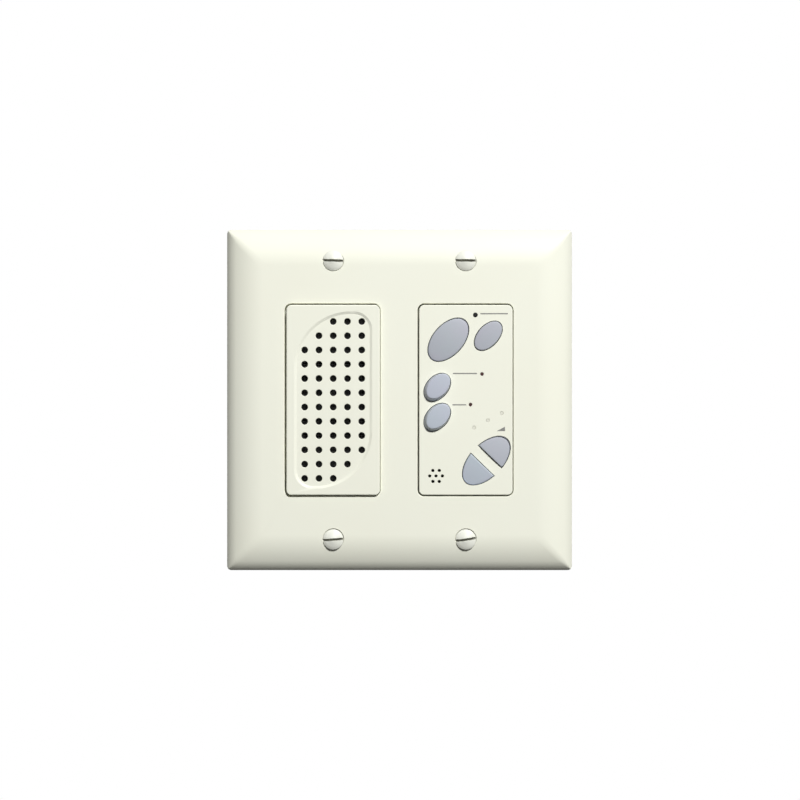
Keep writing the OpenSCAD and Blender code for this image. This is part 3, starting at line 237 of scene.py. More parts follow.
sheet = bmesh.new()
bmesh.ops.create_grid(sheet, x_segments=1, y_segments=1, size=FLOOR_SIZE,
                      matrix=Matrix.Translation((0, 0, FLOOR_Z)))
floor = as_object("floor", sheet, floor_paint)
print("floor at z =", FLOOR_Z)

# %% [markdown]
# ## Effects that several finishes share
# Moulded plastic, paint and metal all drift a little in tone, carry a fine grain, rub where they
# are touched and gather dust on top. Each effect is one node group with its own inputs, placed in
# many materials with different values. Painting each material by hand would repeat the same
# nodes twenty times. The groups give out only colours and masks; the shader stays outside.

# %% Shared effects: grain and tone
FLOAT, COLOR = "NodeSocketFloat", "NodeSocketColor"
GREY = (0.5, 0.5, 0.5, 1)

moulded_grain, given, out = new_group(
    "moulded_grain", "ShaderNodeTree",
    [("Scale", FLOAT, 9000.0), ("Cells", FLOAT, 0.4)], [("Height", FLOAT)])
spot = object_coords(moulded_grain)
fine = put(moulded_grain, "ShaderNodeTexNoise",
           {"Vector": spot, "Scale": given["Scale"], "Detail": 2.0}).outputs[0]
coarse_scale = number(moulded_grain, "MULTIPLY", given["Scale"], 0.55)
cell = put(moulded_grain, "ShaderNodeTexVoronoi",
           {"Vector": spot, "Scale": coarse_scale}).outputs["Distance"]
grain = mix_numbers(moulded_grain, given["Cells"], fine, cell)
moulded_grain.links.new(grain, out.inputs["Height"])

tone_drift, given, out = new_group(
    "tone_drift", "ShaderNodeTree",
    [("Color", COLOR, GREY), ("Tint", COLOR, GREY),
     ("Amount", FLOAT, 0.3), ("Scale", FLOAT, 40.0)], [("Color", COLOR)])
slow = put(tone_drift, "ShaderNodeTexNoise",
           {"Vector": object_coords(tone_drift), "Scale": given["Scale"], "Detail": 3.0}).outputs[0]
much = ramp(tone_drift, slow, 0.35, 0.7, 0.0, given["Amount"])
drifted = mix_colors(tone_drift, much, given["Color"], given["Tint"])
tone_drift.links.new(drifted, out.inputs["Color"])
print("effects:", moulded_grain.name, tone_drift.name)

# %% Shared effects: scuffs and dust
fine_scuffs, given, out = new_group(
    "fine_scuffs", "ShaderNodeTree",
    [("Scale", FLOAT, 700.0), ("Cover", FLOAT, 0.3)], [("Mask", FLOAT)])
drawn = put(fine_scuffs, "ShaderNodeMapping",
            {"Vector": object_coords(fine_scuffs), "Rotation": (0.3, 0.5, 0.4),
             "Scale": (1.0, 1.0, 0.07)}).outputs[0]
streak = put(fine_scuffs, "ShaderNodeTexNoise",
             {"Vector": drawn, "Scale": given["Scale"], "Detail": 4.0, "Roughness": 0.65}).outputs[0]
start = number(fine_scuffs, "SUBTRACT", 0.85, number(fine_scuffs, "MULTIPLY", given["Cover"], 0.5))
fine_scuffs.links.new(ramp(fine_scuffs, streak, start, 0.9, 0.0, 1.0), out.inputs["Mask"])

settled_dust, given, out = new_group(
    "settled_dust", "ShaderNodeTree",
    [("Amount", FLOAT, 0.2), ("Scale", FLOAT, 900.0)], [("Mask", FLOAT)])
normal = put(settled_dust, "ShaderNodeNewGeometry").outputs["Normal"]
up = put(settled_dust, "ShaderNodeSeparateXYZ", {0: normal}).outputs["Z"]
specks = put(settled_dust, "ShaderNodeTexNoise",
             {"Vector": object_coords(settled_dust), "Scale": given["Scale"], "Detail": 4.0}).outputs[0]
lying = number(settled_dust, "MULTIPLY", ramp(settled_dust, up, 0.55, 1.0, 0.0, 1.0),
               ramp(settled_dust, specks, 0.35, 0.75, 0.0, 1.0))
settled_dust.links.new(number(settled_dust, "MULTIPLY", lying, given["Amount"]), out.inputs["Mask"])
print("effects:", fine_scuffs.name, settled_dust.name)

# %% [markdown]
# ## Plastics, paints and rubbers
# Most of the object is injection-moulded: a tone that drifts by a few per cent, a spark-eroded
# grain that breaks up the gloss, faint rubbing that changes the shine more than the colour, and
# dust where a surface looks up. One recipe with different numbers makes every such finish, so
# the ivory of the plate and the charcoal of the housing belong to one family.

# %% Recipe for moulded and painted surfaces
# The second colour is painted shade: the shadow in a screw's slot and in the gap round its head.
ZINC, PAINTED_SLOT_SHADE, DUST = (0.60, 0.615, 0.64), (0.16, 0.155, 0.13), (0.52, 0.5, 0.46)
GRAIN_DEPTH, BRUSH_DEPTH, PAINT_EDGE = 0.00004, 0.00002, 0.0001
finish = {}


def use(tree, group, **values):
    """Place a shared effect and return its outputs."""
    return put(tree, "ShaderNodeGroup", values, node_tree=group).outputs


def rgba(color):
    return (*color, 1.0)


def start_finish(name):
    """Begin a finish with a Principled shader, and return its tree and the shader."""
    finish[name] = bpy.data.materials.new(name)
    finish[name].use_nodes = True
    tree = finish[name].node_tree
    tree.nodes.clear()
    shader = put(tree, "ShaderNodeBsdfPrincipled")
    put(tree, "ShaderNodeOutputMaterial", {"Surface": shader.outputs[0]})
    return tree, shader


def roughen(tree, shader, height, strength, depth):
    bump = put(tree, "ShaderNodeBump", {"Height": height, "Strength": strength, "Distance": depth})
    tree.links.new(bump.outputs[0], shader.inputs["Normal"])


def slot_shade_and_bare_steel(tree, shader, tone, shade_from, shade_full, paint_end):
    """Painted shade in the slot and at the rim of the head between two depths, and bare steel from the
    third.
    """
    depth = put(tree, "ShaderNodeSeparateXYZ", {0: object_coords(tree)}).outputs["Y"]
    # Painted shade: the slot and the rim of the head are darkened where they lie in shadow.
    inside = number(tree, "MULTIPLY", ramp(tree, depth, shade_from, shade_full, 0.0, 0.9),
                    ramp(tree, depth, paint_end, paint_end + PAINT_EDGE, 1.0, 0.0))
    bare = ramp(tree, depth, paint_end, paint_end + PAINT_EDGE, 0.0, 1.0)
    tree.links.new(bare, shader.inputs["Metallic"])
    return mix_colors(tree, bare, mix_colors(tree, inside, tone, rgba(PAINTED_SLOT_SHADE)), rgba(ZINC))


def moulded(name, color, tint, amount=0.3, rough=0.42, grain=9000.0, cells=0.4, bump=0.08,
            drift=45.0, cover=0.25, dust=0.0, specular=0.5, depths=None):
    """A finish that drifts from color to tint; depths put painted shade in a screw slot and a bare shank.
    """
    tree, shader = start_finish(name)
    tone = use(tree, tone_drift, Color=rgba(color), Tint=rgba(tint), Amount=amount, Scale=drift)["Color"]
    rubbed = use(tree, fine_scuffs, Scale=650.0, Cover=cover)["Mask"]
    if depths:
        tone = slot_shade_and_bare_steel(tree, shader, tone, *depths)
    if dust:
        lying = use(tree, settled_dust, Amount=dust)["Mask"]
        tone = mix_colors(tree, lying, tone, rgba(DUST))
        rubbed = number(tree, "MAXIMUM", rubbed, lying)
    tree.links.new(tone, shader.inputs["Base Color"])
    rubbed_rough = min(rough + 0.16, 0.95)
    tree.links.new(ramp(tree, rubbed, 0, 1, rough, rubbed_rough), shader.inputs["Roughness"])
    shader.inputs["Specular IOR Level"].default_value = specular
    height = use(tree, moulded_grain, Scale=grain, Cells=cells)["Height"]
    roughen(tree, shader, height, bump, GRAIN_DEPTH)


print("recipe for moulded finishes ready")

# %% Moulded finishes outside
moulded("ivory_plastic", (0.902, 0.908, 0.786), (0.894, 0.893, 0.760), 0.5,
        rough=0.46, bump=0.05, drift=30.0, cover=0.12, specular=0.25)
# light_key_plastic is a lighter copy of key_plastic; on the volume-down key it is painted light.
for name, color, tint in (("key_plastic", (0.418, 0.447, 0.486), (0.436, 0.431, 0.496)),
                          ("light_key_plastic", (0.475, 0.530, 0.585), (0.495, 0.513, 0.598))):
    moulded(name, color, tint, 0.9, rough=0.5, bump=0.10, drift=70.0, cover=0.2, specular=0.4)
# On the painted screws the depths put painted shade in the slot and at the rim, and leave the shank bare.
moulded("painted_screw", (0.88, 0.89, 0.80), (0.80, 0.80, 0.71), 0.4, rough=0.45, grain=5000.0,
        bump=0.06, drift=300.0, cover=0.3, specular=0.3, depths=(-0.0066, -0.0061, -0.0058))
moulded("housing_plastic", (0.052, 0.053, 0.056), (0.072, 0.072, 0.073), 0.8,
        rough=0.55, grain=3600.0, cells=0.75, bump=0.55, cover=0.4, dust=0.16)
moulded("terminal_plastic", (0.045, 0.185, 0.105), (0.06, 0.21, 0.125), 0.7,
        rough=0.4, grain=5000.0, bump=0.15, dust=0.25)
moulded("light_black", (0.004, 0.004, 0.004), (0.009, 0.008, 0.008), 0.6, rough=0.2, specular=0.3)
moulded("light_red", (0.040, 0.010, 0.009), (0.062, 0.014, 0.012), 0.7, rough=0.14)
moulded("light_clear", (0.80, 0.80, 0.69), (0.74, 0.74, 0.63), 0.6, rough=0.3)
moulded("panel_ink", (0.20, 0.20, 0.185), (0.26, 0.26, 0.24), 0.7, rough=0.5,
        grain=12000.0, bump=0.1, drift=900.0)
print("finishes:", sorted(finish))

# %% Moulded finishes inside
moulded("black_plastic", (0.018, 0.018, 0.019), (0.03, 0.03, 0.03), 0.6, rough=0.5)
moulded("boot_rubber", (0.016, 0.016, 0.016), (0.032, 0.031, 0.030), 0.8,
        rough=0.78, grain=6000.0, bump=0.2, dust=0.2, specular=0.3)
moulded("header_plastic", (0.80, 0.79, 0.70), (0.76, 0.73, 0.62), 0.6, rough=0.38)
moulded("chip_white", (0.80, 0.76, 0.52), (0.83, 0.80, 0.62), 0.6, rough=0.35)
moulded("chip_epoxy", (0.020, 0.020, 0.022), (0.034, 0.034, 0.036), 0.7,
        rough=0.6, grain=7000.0, bump=0.35)
moulded("wire_sleeve", (0.30, 0.022, 0.020), (0.36, 0.035, 0.03), 0.6, rough=0.36)
moulded("black_mesh", (0.012, 0.012, 0.013), (0.024, 0.024, 0.025), 0.7,
        rough=0.55, grain=14000.0, bump=0.3)
print("now", len(finish), "finishes")

# %% [markdown]
# ## Metals
# Straps and screws are zinc-plated steel: bright, a little blue, with a soft brushing along the
# strip and cloudy patches where the bath left more or less. A brushed look could come from an
# anisotropic shader, but the export drops that, so stretched noise in the roughness does it.

# %% Metal recipe
BRUSH_STRETCH = (1.0, 30.0, 30.0)


def plated(name, color, tint, rough):
    tree, shader = start_finish(name)
    drawn = put(tree, "ShaderNodeMapping",
                {"Vector": object_coords(tree), "Scale": BRUSH_STRETCH}).outputs[0]
    brush = put(tree, "ShaderNodeTexNoise", {"Vector": drawn, "Scale": 260.0, "Detail": 5.0}).outputs[0]
    tone = use(tree, tone_drift, Color=rgba(color), Tint=rgba(tint), Amount=0.8, Scale=120.0)["Color"]
    rubbed = use(tree, fine_scuffs, Scale=900.0, Cover=0.4)["Mask"]
    tree.links.new(tone, shader.inputs["Base Color"])
    shine = number(tree, "ADD", ramp(tree, brush, 0.3, 0.7, rough - 0.07, rough + 0.09),
                   number(tree, "MULTIPLY", rubbed, 0.12))
    tree.links.new(shine, shader.inputs["Roughness"])
    shader.inputs["Metallic"].default_value = 1.0
    roughen(tree, shader, brush, 0.12, BRUSH_DEPTH)


plated("zinc_steel", ZINC, (0.50, 0.51, 0.525), rough=0.4)
plated("speaker_steel", (0.60, 0.61, 0.62), (0.50, 0.50, 0.50), rough=0.36)
plated("capsule_metal", (0.74, 0.75, 0.76), (0.66, 0.67, 0.68), rough=0.28)
plated("tag_brass", (0.72, 0.58, 0.28), (0.60, 0.46, 0.22), rough=0.3)
print("metals added:", len(finish), "finishes")

# %% [markdown]
# ## Finishes with a pattern of their own
# A circuit board shows paths under its green mask, a coil is wound wire, a cone is pressed with
# faint rings, ferrite is speckled and a capacitor carries a pale stripe. All of them sit inside
# the housing, and each needs only one texture more than the moulded recipe.

# %% Patterns
GANG_X = 23.02
SPEAKER_X, KEYPAD_X = -GANG_X * MM, GANG_X * MM


def waves(tree, spot, scale, low, high, reach, **kind):
    """Bands or rings that rise from 0 to reach where the wave goes from low to high."""
    wave = put(tree, "ShaderNodeTexWave", {"Vector": spot, "Scale": scale}, **kind)
    return ramp(tree, wave.outputs["Fac"], low, high, 0.0, reach)


def board_paths(tree, spot):
    cells = put(tree, "ShaderNodeTexVoronoi", {"Vector": spot, "Scale": 330.0, "Randomness": 0.7},
                feature="F2", distance="CHEBYCHEV").outputs["Distance"]
    return ramp(tree, cells, 0.62, 0.66, 0.0, 0.8)


def pressed_rings(tree, spot):
    moved = put(tree, "ShaderNodeMapping", {"Vector": spot, "Location": (-SPEAKER_X, 0, 0)}).outputs[0]
    return waves(tree, moved, 300.0, 0.2, 0.8, 0.7, wave_type="RINGS", rings_direction="Y")


def windings(tree, spot):
    return waves(tree, spot, 1300.0, 0.1, 0.6, 0.8, wave_type="BANDS", bands_direction="Y")


def stripe(tree, spot):
    return waves(tree, spot, 45.0, 0.93, 0.96, 1.0, wave_type="BANDS", bands_direction="Z")


def speckle(tree, spot):
    noise = put(tree, "ShaderNodeTexNoise", {"Vector": spot, "Scale": 2600.0}).outputs[0]
    return ramp(tree, noise, 0.55, 0.7, 0, 1)


print("loudspeaker at x =", round(SPEAKER_X, 5), "and keypad at x =", round(KEYPAD_X, 5))

# %% Board, coil, cone, magnet and capacitor
def patterned(name, color, other, mask_of, rough, metal=0.0):
    """A finish whose colour and height follow a mask made by mask_of(tree, coords)."""
    tree, shader = start_finish(name)
    mask = mask_of(tree, object_coords(tree))
    darker = [c * 0.8 for c in color]
    tone = use(tree, tone_drift, Color=rgba(color), Tint=rgba(darker), Amount=0.6, Scale=90.0)["Color"]
    tree.links.new(mix_colors(tree, mask, tone, rgba(other)), shader.inputs["Base Color"])
    rubbed = use(tree, fine_scuffs, Scale=800.0, Cover=0.3)["Mask"]
    tree.links.new(ramp(tree, rubbed, 0, 1, rough, rough + 0.15), shader.inputs["Roughness"])
    shader.inputs["Metallic"].default_value = metal
    roughen(tree, shader, mask, 0.3, GRAIN_DEPTH)


patterned("board_laminate", (0.012, 0.075, 0.032), (0.05, 0.17, 0.07), board_paths, rough=0.32)
patterned("coil_copper", (0.60, 0.26, 0.10), (0.2, 0.07, 0.03), windings, rough=0.32, metal=1.0)
patterned("cone_film", (0.022, 0.022, 0.024), (0.05, 0.05, 0.052), pressed_rings, rough=0.4)
patterned("ferrite", (0.020, 0.020, 0.021), (0.05, 0.05, 0.052), speckle, rough=0.65)
patterned("capacitor_sleeve", (0.012, 0.015, 0.05), (0.5, 0.52, 0.55), stripe, rough=0.3)

# %% [markdown]
# ## Dressing the solids
# Every solid gets the finish of its material slot first. Pieces made further on take the place
# of some of them, and the rest stay as they are: their shape is already right.

# %% Finish on every solid
slot_of = {sub["node"]: sub["material_slot"] for sub in frame["record"]["subparts"]}
for name, solid in frame["nodes"].items():
    solid.data.materials.clear()
    solid.data.materials.append(finish[slot_of[name]])
print("dressed", len(slot_of), "solids")

# %% [markdown]
# ## Edges that catch the light
# A moulded edge is never sharp: the tool is rounded, and a plated edge is rolled. A copy of each
# outer solid is joined up and only its outward edges are bevelled, and only where they show.
# Rounding every edge at once folds the mesh at small pockets. Flat faces keep a flat normal up
# to the rounding, which is written into the mesh, or long triangles would shade unevenly.

# %% Joining and shading a copy
JOIN_DIST, TINY = 1e-6, 1e-9
# A face counts as flat where its normal lies this close along an axis
FLAT = 0.999999
# Cosines of the widest angle at which a corner takes in the normal of a face beside it
TO_STRIP, TO_FLAT, TO_CURVE = 0.55, 0.94, 0.848

body_of = {name: solid["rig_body"] for name, solid in frame["nodes"].items()}


def joined_copy(node):
    """The solid's loose triangles as one closed mesh."""
    bm = bmesh.new()
    bm.from_mesh(frame["nodes"][node].data)
    bmesh.ops.remove_doubles(bm, verts=bm.verts, dist=JOIN_DIST)
    bm.normal_update()
    return bm


def is_flat(face):
    return max(map(abs, face.normal)) > FLAT


def corner_normals(bm, strips, exact):
    """For each corner: the mean of the old faces that meet there smoothly, flat ones first."""
    found = []
    for face in bm.faces:
        for corner in face.loops:
            true = exact(corner.vert.co / MM, face.normal) if exact and face not in strips else None
            if true:
                found.append(true)
                continue
            around = list(corner.vert.link_loops)
            old = [c for c in around if c.face not in strips]
            if face in strips:
                near = [c for c in old if c.face.normal.dot(face.normal) > TO_STRIP] or around
            else:
                near = [c for c in old if c.face.normal.dot(face.normal)
                        > (TO_FLAT if is_flat(c.face) else TO_CURVE)]
            flat = [c for c in near if is_flat(c.face)]
            total = Vector((0, 0, 0))
            for c in flat or near:
                total += c.face.normal * c.calc_angle()
            found.append(total.normalized() if total.length > TINY else face.normal.copy())
    return found


def shown_piece(name, bm, node, strips=(), exact=None, rides=True):
    """Turn bm into a piece that replaces a solid, with the finish of the solid's slot and, if it rides,
    the solid's body.
    """
    bm.normal_update()
    normals = corner_normals(bm, set(strips), exact)
    made = as_object(name, bm, finish[slot_of[node]])
    mesh = made.data
    for extra in ("custom_normal", "sharp_edge", "sharp_face"):
        if extra in mesh.attributes:
            mesh.attributes.remove(mesh.attributes[extra])
    mesh.shade_smooth()
    mesh.normals_split_custom_set(normals)
    if rides:
        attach(made, body_of[node])
    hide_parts(node)
    return made


print("bodies:", sorted(set(body_of.values())))

# %% Rounding helper
SHARP_DEGREES, BEVEL_STEPS = 35, 3


def rounded(node, width, where=None, change=None, exact=None):
    """Replace a solid by a copy whose outward edges are rounded by width millimetres."""
    bm = joined_copy(node)
    if change:
        change(bm)
        bm.normal_update()
    sharp = [e for e in bm.edges if e.is_convex and e.calc_face_angle(0) > radians(SHARP_DEGREES)
             and (where is None or all(where(v.co / MM) for v in e.verts))]
    strips = bmesh.ops.bevel(bm, geom=sharp, offset=width * MM, offset_type="OFFSET",
                             segments=BEVEL_STEPS, profile=0.5, affect="EDGES", clamp_overlap=False,
                             loop_slide=False, miter_outer="SHARP", material=-1)["faces"]
    made = shown_piece(node + "_rounded", bm, node, strips, exact)
    print(f"{node}: {len(sharp)} edges rounded, {len(made.data.polygons)} faces")


print("edges over", SHARP_DEGREES, "degrees are rounded in", BEVEL_STEPS, "steps")

# %% [markdown]
# ## The plate and its inserts
# The plate and the two inserts are ivory mouldings with a crisp but not sharp outline. The
# border of the plate is already curved, in two arcs that run into each other, but its sides meet
# in sharp mitres, where a polished tool leaves soft ones. So the border is cut beside each mitre
# and sunk a little, by a smooth minimum of the distances to the two sides. The border has few
# and long triangles, so its normals are worked out from the arcs as well.

# %% Shape of the border
PLATE_Y, BORDER_W = -6.4, 12.7
HALF_W, HALF_H = 60.325, 59.53
# The arc from the flat face reaches this far out, and the arc to the rim takes over from it
FACE_R, FACE_REACH = 22.006, 9.3
EDGE_R, EDGE_START, TURN_COS = 8.64, 5.649, cos(radians(25))
# A mitre is this soft, less so over its last millimetres to the rim
MITRE_SOFT, MITRE_LEAST, MITRE_FADE = 2.0, 0.1, 4
MITRE_SHARP = 1e-6
# A face of the border looks forward by this much and agrees with the arcs to this cosine
FRONT_TILT, SAME_FACE = -0.3, 0.96


def border_shape(p, soft=MITRE_SOFT):
    """How far the border has dropped at p, and its normal; nothing on the flat of the plate."""
    dx, dz = HALF_W - abs(p.x), HALF_H - abs(p.z)
    soft = soft * min(1.0, max(min(dx, dz), MITRE_LEAST) / MITRE_FADE)
    share = min(max(0.5 + (dz - dx) / (2 * soft), 0.0), 1.0)
    along = BORDER_W - dz - (dx - dz) * share + soft * share * (1 - share)
    if along < 0:
        return None
    lean = along / FACE_R if along < FACE_REACH else (along - EDGE_START) / EDGE_R
    rise = sqrt(1 - lean * lean)
    drop = FACE_R * (1 - max(rise, TURN_COS)) + EDGE_R * max(TURN_COS - rise, 0.0)
    slope = lean / rise
    normal = Vector((copysign(share * slope, p.x), -1, copysign((1 - share) * slope, p.z)))
    return drop, normal.normalized()


def on_border(p, margin):
    """Whether p lies on the border, as it is before its mitres are softened."""
    found = border_shape(p, MITRE_SHARP)
    return found and abs(p.y - PLATE_Y - found[0]) < margin


def border_normal(p, normal):
    """The normal of the plate's border at p, or nothing where the face isn't part of it."""
    found = border_shape(p)
    return found[1] if found and normal.y < FRONT_TILT and normal.dot(found[1]) > SAME_FACE else None


print("border drops", round(border_shape(Vector((HALF_W, 0, 0)))[0], 2), "mm to the rim")

# %% Soft mitres, plate and inserts
CUT_STEPS, CUT_GAP = (-4, -3, -2, -1, 1, 2, 3, 4), 0.18 * MITRE_SOFT
FACE_MARGIN, POINT_MARGIN = 0.3, 0.03
CUT_DIST = 1e-7


def soften_mitres(bm):
    """Cut the border beside its mitres and let each two sides run into each other."""
    for x, z in [(x, z) for x in (-1, 1) for z in (-1, 1)]:
        across = Vector((x, 0, -z)).normalized()
        corner = Vector((x * HALF_W, 0, z * HALF_H))
        for step in CUT_STEPS:
            faces = [f for f in bm.faces if -FLAT < f.normal.y < FRONT_TILT
                     and on_border(f.calc_center_median() / MM, FACE_MARGIN)]
            edges = list({e for f in faces for e in f.edges})
            verts = list({v for f in faces for v in f.verts})
            bmesh.ops.bisect_plane(bm, geom=faces + edges + verts, dist=CUT_DIST, plane_no=across,
                                   plane_co=(corner + across * (step * CUT_GAP)) * MM)
    for v in bm.verts:
        if on_border(v.co / MM, POINT_MARGIN):
            v.co.y = (PLATE_Y + border_shape(v.co / MM)[0]) * MM


# Edges are rounded in front of these depths, and on the plate only at its openings
PLATE_SHOWS, SPEAKER_SHOWS, KEYPAD_SHOWS, OPENINGS_END = -6.3, -6.9, -6.6, 40
rounded("wall_plate", width=0.25, where=lambda p: p.y < PLATE_SHOWS and abs(p.z) < OPENINGS_END,
        change=soften_mitres, exact=border_normal)
rounded("speaker_bezel", width=0.16, where=lambda p: p.y < SPEAKER_SHOWS)
rounded("keypad_bezel", width=0.14, where=lambda p: p.y < KEYPAD_SHOWS)

# %% [markdown]
# ## The keys
# Each key is a low crowned oval that drops into its hole; the two volume keys are the ends of one
# long oval. A bevelled solid shows its facets on such a gentle crown, so the visible cap is lofted
# anew: rings follow the outline up the drafted side, round the edge on a quarter circle and close
# over the crown. The stem and lugs behind the panel are cut from the solid and kept.

# %% Key outlines
def oval(a, b, count=120):
    return [Vector((a * cos(2 * pi * i / count), b * sin(2 * pi * i / count))) for i in range(count)]


def oval_end(a, b, cut, count=72, side_count=24, passes=3):
    """The part of an oval beyond u = cut, its two corners softened by a few passes of averaging."""
    limit = acos(cut / a)
    arc = [Vector((a * cos(limit * r), b * sin(limit * r)))
           for r in (i / count * 2 - 1 for i in range(count + 1))]
    line = arc + [arc[-1].lerp(arc[0], i / side_count) for i in range(1, side_count)]
    for _ in range(passes):
        line = [before * 0.25 + p * 0.5 + after * 0.25
                for before, p, after in zip(line[-1:] + line[:-1], line, line[1:] + line[:1])]
    return line


def inset(line, by):
    """The outline moved inwards by a small distance."""
    moved = []
    for i, p in enumerate(line):
        along = (line[(i + 1) % len(line)] - line[i - 1]).normalized()
        moved.append(p + Vector((-along.y, along.x)) * by)
    return moved


talk_oval, answer_oval, tall_oval = oval(8.85, 5.25), oval(6, 3.6), oval(5.5, 3.75)
volume_end = oval_end(10.35, 5.65, cut=1.95)
print("ovals of", len(talk_oval), "points, volume keys of", len(volume_end))

# %% Key caps
PANEL_Y, CUT_Y, CROWN_R = -6.9, -6.72, 60.0
# A cap starts behind the panel, with a small step at its foot
FOOT, FOOT_EDGE, FOOT_INSET = 0.2, 0.3, 0.05
EDGE_STEPS, CROWN_SHARES = 6, (0.85, 0.66, 0.45, 0.22)


def cap_rings(line, top_y, draft, edge, lean):
    """Rings of (outline point, y) from the foot to the crown, and the point that closes them."""
    rise = PANEL_Y + FOOT - top_y
    middle = sum(line, Vector((0, 0))) / len(line)

    def crowned(outline, down=0.0):
        return [(p, top_y + p.length_squared / (2 * CROWN_R) + down) for p in outline]

    def leaning(ring):
        """The ring moved along the key in step with its height."""
        return [(p + Vector((lean * max(0.0, PANEL_Y + FOOT - y) / rise, 0)), y) for p, y in ring]

    steps = [(FOOT_INSET, -FOOT_EDGE), (0.0, -FOOT), (draft * 0.5, rise / 2 - FOOT)]
    rings = [[(p, PANEL_Y - up) for p in inset(line, by)] for by, up in steps]
    for i in range(EDGE_STEPS + 1):
        angle = radians(90 * i / EDGE_STEPS)
        outline = inset(line, draft + edge * (1 - cos(angle)))
        rings.append(crowned(outline, edge * (1 - sin(angle))))
    last = inset(line, draft + edge)
    for share in CROWN_SHARES:
        rings.append(crowned([middle + (p - middle) * share for p in last]))
    return [leaning(ring) for ring in rings], leaning(crowned([middle]))[0]


def key_cap(node, line, centre, turn, top_y, draft, edge, lean=0.0, coat="key_plastic"):
    """A crowned cap on an outline, in one mesh with the solid's stem and lugs."""
    bm = joined_copy(node)
    bmesh.ops.bisect_plane(bm, geom=bm.verts[:] + bm.edges[:] + bm.faces[:], dist=CUT_DIST,
                           clear_outer=True, plane_co=(0, CUT_Y * MM, 0), plane_no=(0, -1, 0))
    bmesh.ops.holes_fill(bm, edges=[e for e in bm.edges if e.is_boundary], sides=0)
    c, s = cos(radians(turn)), sin(radians(turn))

    def place(p, y):
        return bm.verts.new(Vector((KEYPAD_X / MM + centre[0] + p.x * c - p.y * s, y,
                                    centre[1] + p.x * s + p.y * c)) * MM)

    rings, top = cap_rings(line, top_y, draft, edge, lean)
    loops = [[place(p, y) for p, y in ring] for ring in rings]
    for low, high in zip(loops, loops[1:]):
        for i in range(len(low)):
            j = (i + 1) % len(low)
            bm.faces.new((low[i], low[j], high[j], high[i]))
    tip = place(*top)
    for i in range(len(line)):
        bm.faces.new((loops[-1][i], loops[-1][(i + 1) % len(line)], tip))
    bm.faces.new(list(reversed(loops[0])))
    bmesh.ops.recalc_face_normals(bm, faces=bm.faces)
    made = shown_piece(node + "_cap", bm, node)
    made.data.materials[0] = finish[coat]
    print(f"{node}: {len(made.data.polygons)} faces")


LOW_KEY = {"top_y": -7.7, "draft": 0.1}
TALL_KEY = {"top_y": -8.9, "draft": 0.45, "edge": 0.3, "lean": 0.55, "coat": "light_key_plastic"}
VOLUME_CENTRE, VOLUME_TURN, VOLUME_EDGE = (7.1, -21.05), 46, 0.22

key_cap("talk_button", talk_oval, (-6.1, 20.9), 48.5, edge=0.25, **LOW_KEY)
key_cap("answer_button", answer_oval, (7.75, 22.25), 48, edge=0.25, **LOW_KEY)
for node, height in (("monitor_button", 4.4), ("mute_button", -6.0)):
    key_cap(node, tall_oval, (-9.95, height), 48, **TALL_KEY)
key_cap("volume_up_button", volume_end, VOLUME_CENTRE, VOLUME_TURN, edge=VOLUME_EDGE, **LOW_KEY)
# The volume-down key is the same plastic as volume-up; its lighter copy is painted light, as if more light
# fell on it.
key_cap("volume_down_button", volume_end, VOLUME_CENTRE, VOLUME_TURN + 180, edge=VOLUME_EDGE,
        coat="light_key_plastic", **LOW_KEY)

# %% [markdown]
# ## Marks beside the keys
# The panel carries thin printed lines that lead from each light to its key, and a small ramp
# over the volume keys. Ink on plastic is a film: a sheet a few hundredths of a millimetre thick,
# laid on the panel. Drawing it in the panel's material would tie it to one pixel size.

# %% Printed lines and ramp
INK_FRONT, INK_BACK = PANEL_Y - 0.02, PANEL_Y + 0.03
BAR_THICK, BAR_END_STEPS = 0.42, 8


def bar(x0, x1, z):
    """The outline of a line with round ends, in (x, z) millimetres from the keypad's centre."""
    r = BAR_THICK / 2
    angles = [pi * i / BAR_END_STEPS for i in range(BAR_END_STEPS + 1)]
    right = [(x1 - r + r * sin(angle), z + r * cos(angle)) for angle in angles]
    left = [(x0 + r - r * sin(angle), z - r * cos(angle)) for angle in angles]
    return right + left


answer_line, monitor_line = bar(5.0, 14.6, 29.95), bar(-4.5, 3.9, 9.2)
mute_line = bar(-4.7, 0.2, -1.67)
volume_ramp = [(10.7, -10.8), (13.6, -10.8), (13.6, -9.25)]
outlines = [answer_line, monitor_line, mute_line, volume_ramp]
film = bmesh.new()
for line in outlines:
    front, back = ([film.verts.new(Vector((KEYPAD_X / MM + x, y, z)) * MM) for x, z in line]
                   for y in (INK_FRONT, INK_BACK))
    film.faces.new(front)
    film.faces.new(list(reversed(back)))
    for i in range(len(line)):
        film.faces.new((front[i], back[i], back[i - 1], front[i - 1]))
bmesh.ops.recalc_face_normals(film, faces=film.faces)
marks = as_object("panel_marks", film, finish["panel_ink"])
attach(marks, "unit")
print(marks.name, "with", len(outlines), "marks")

# %% [markdown]
# ## Felt over the microphone
# A small capsule listens through the seven holes at the lower left. Its front is covered with
# black felt against dust and breath, which is also why such holes look black. It is a plain
# disc that lies in the gap between capsule and panel.

# %% Felt disc
FELT_R, FELT_THICK = 2.85 * MM, 0.25 * MM

low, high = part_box("microphone")
middle = (low + high) / 2
in_front = Matrix.Translation((middle.x, low.y - FELT_THICK / 2, middle.z))
disc = bmesh.new()
bmesh.ops.create_cone(disc, cap_ends=True, segments=48, radius1=FELT_R, radius2=FELT_R,
                      depth=FELT_THICK, matrix=in_front @ Matrix.Rotation(pi / 2, 4, "X"))
felt = as_object("microphone_felt", disc, finish["boot_rubber"])
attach(felt, "unit")
print("felt of", len(felt.data.polygons), "faces at y =", round(low.y / MM, 2), "mm")

# %% [markdown]
# ## The woven screen behind the grille
# Behind the 54 holes lies a black woven screen that keeps dust out of the loudspeaker. It could
# be a sheet with a woven picture on it, but through each hole two or three wires are seen, so it
# is woven: each wire waves over one and under the next. Geometry Nodes lay two wave phases in
# each direction, three-sided wires being enough at this size.

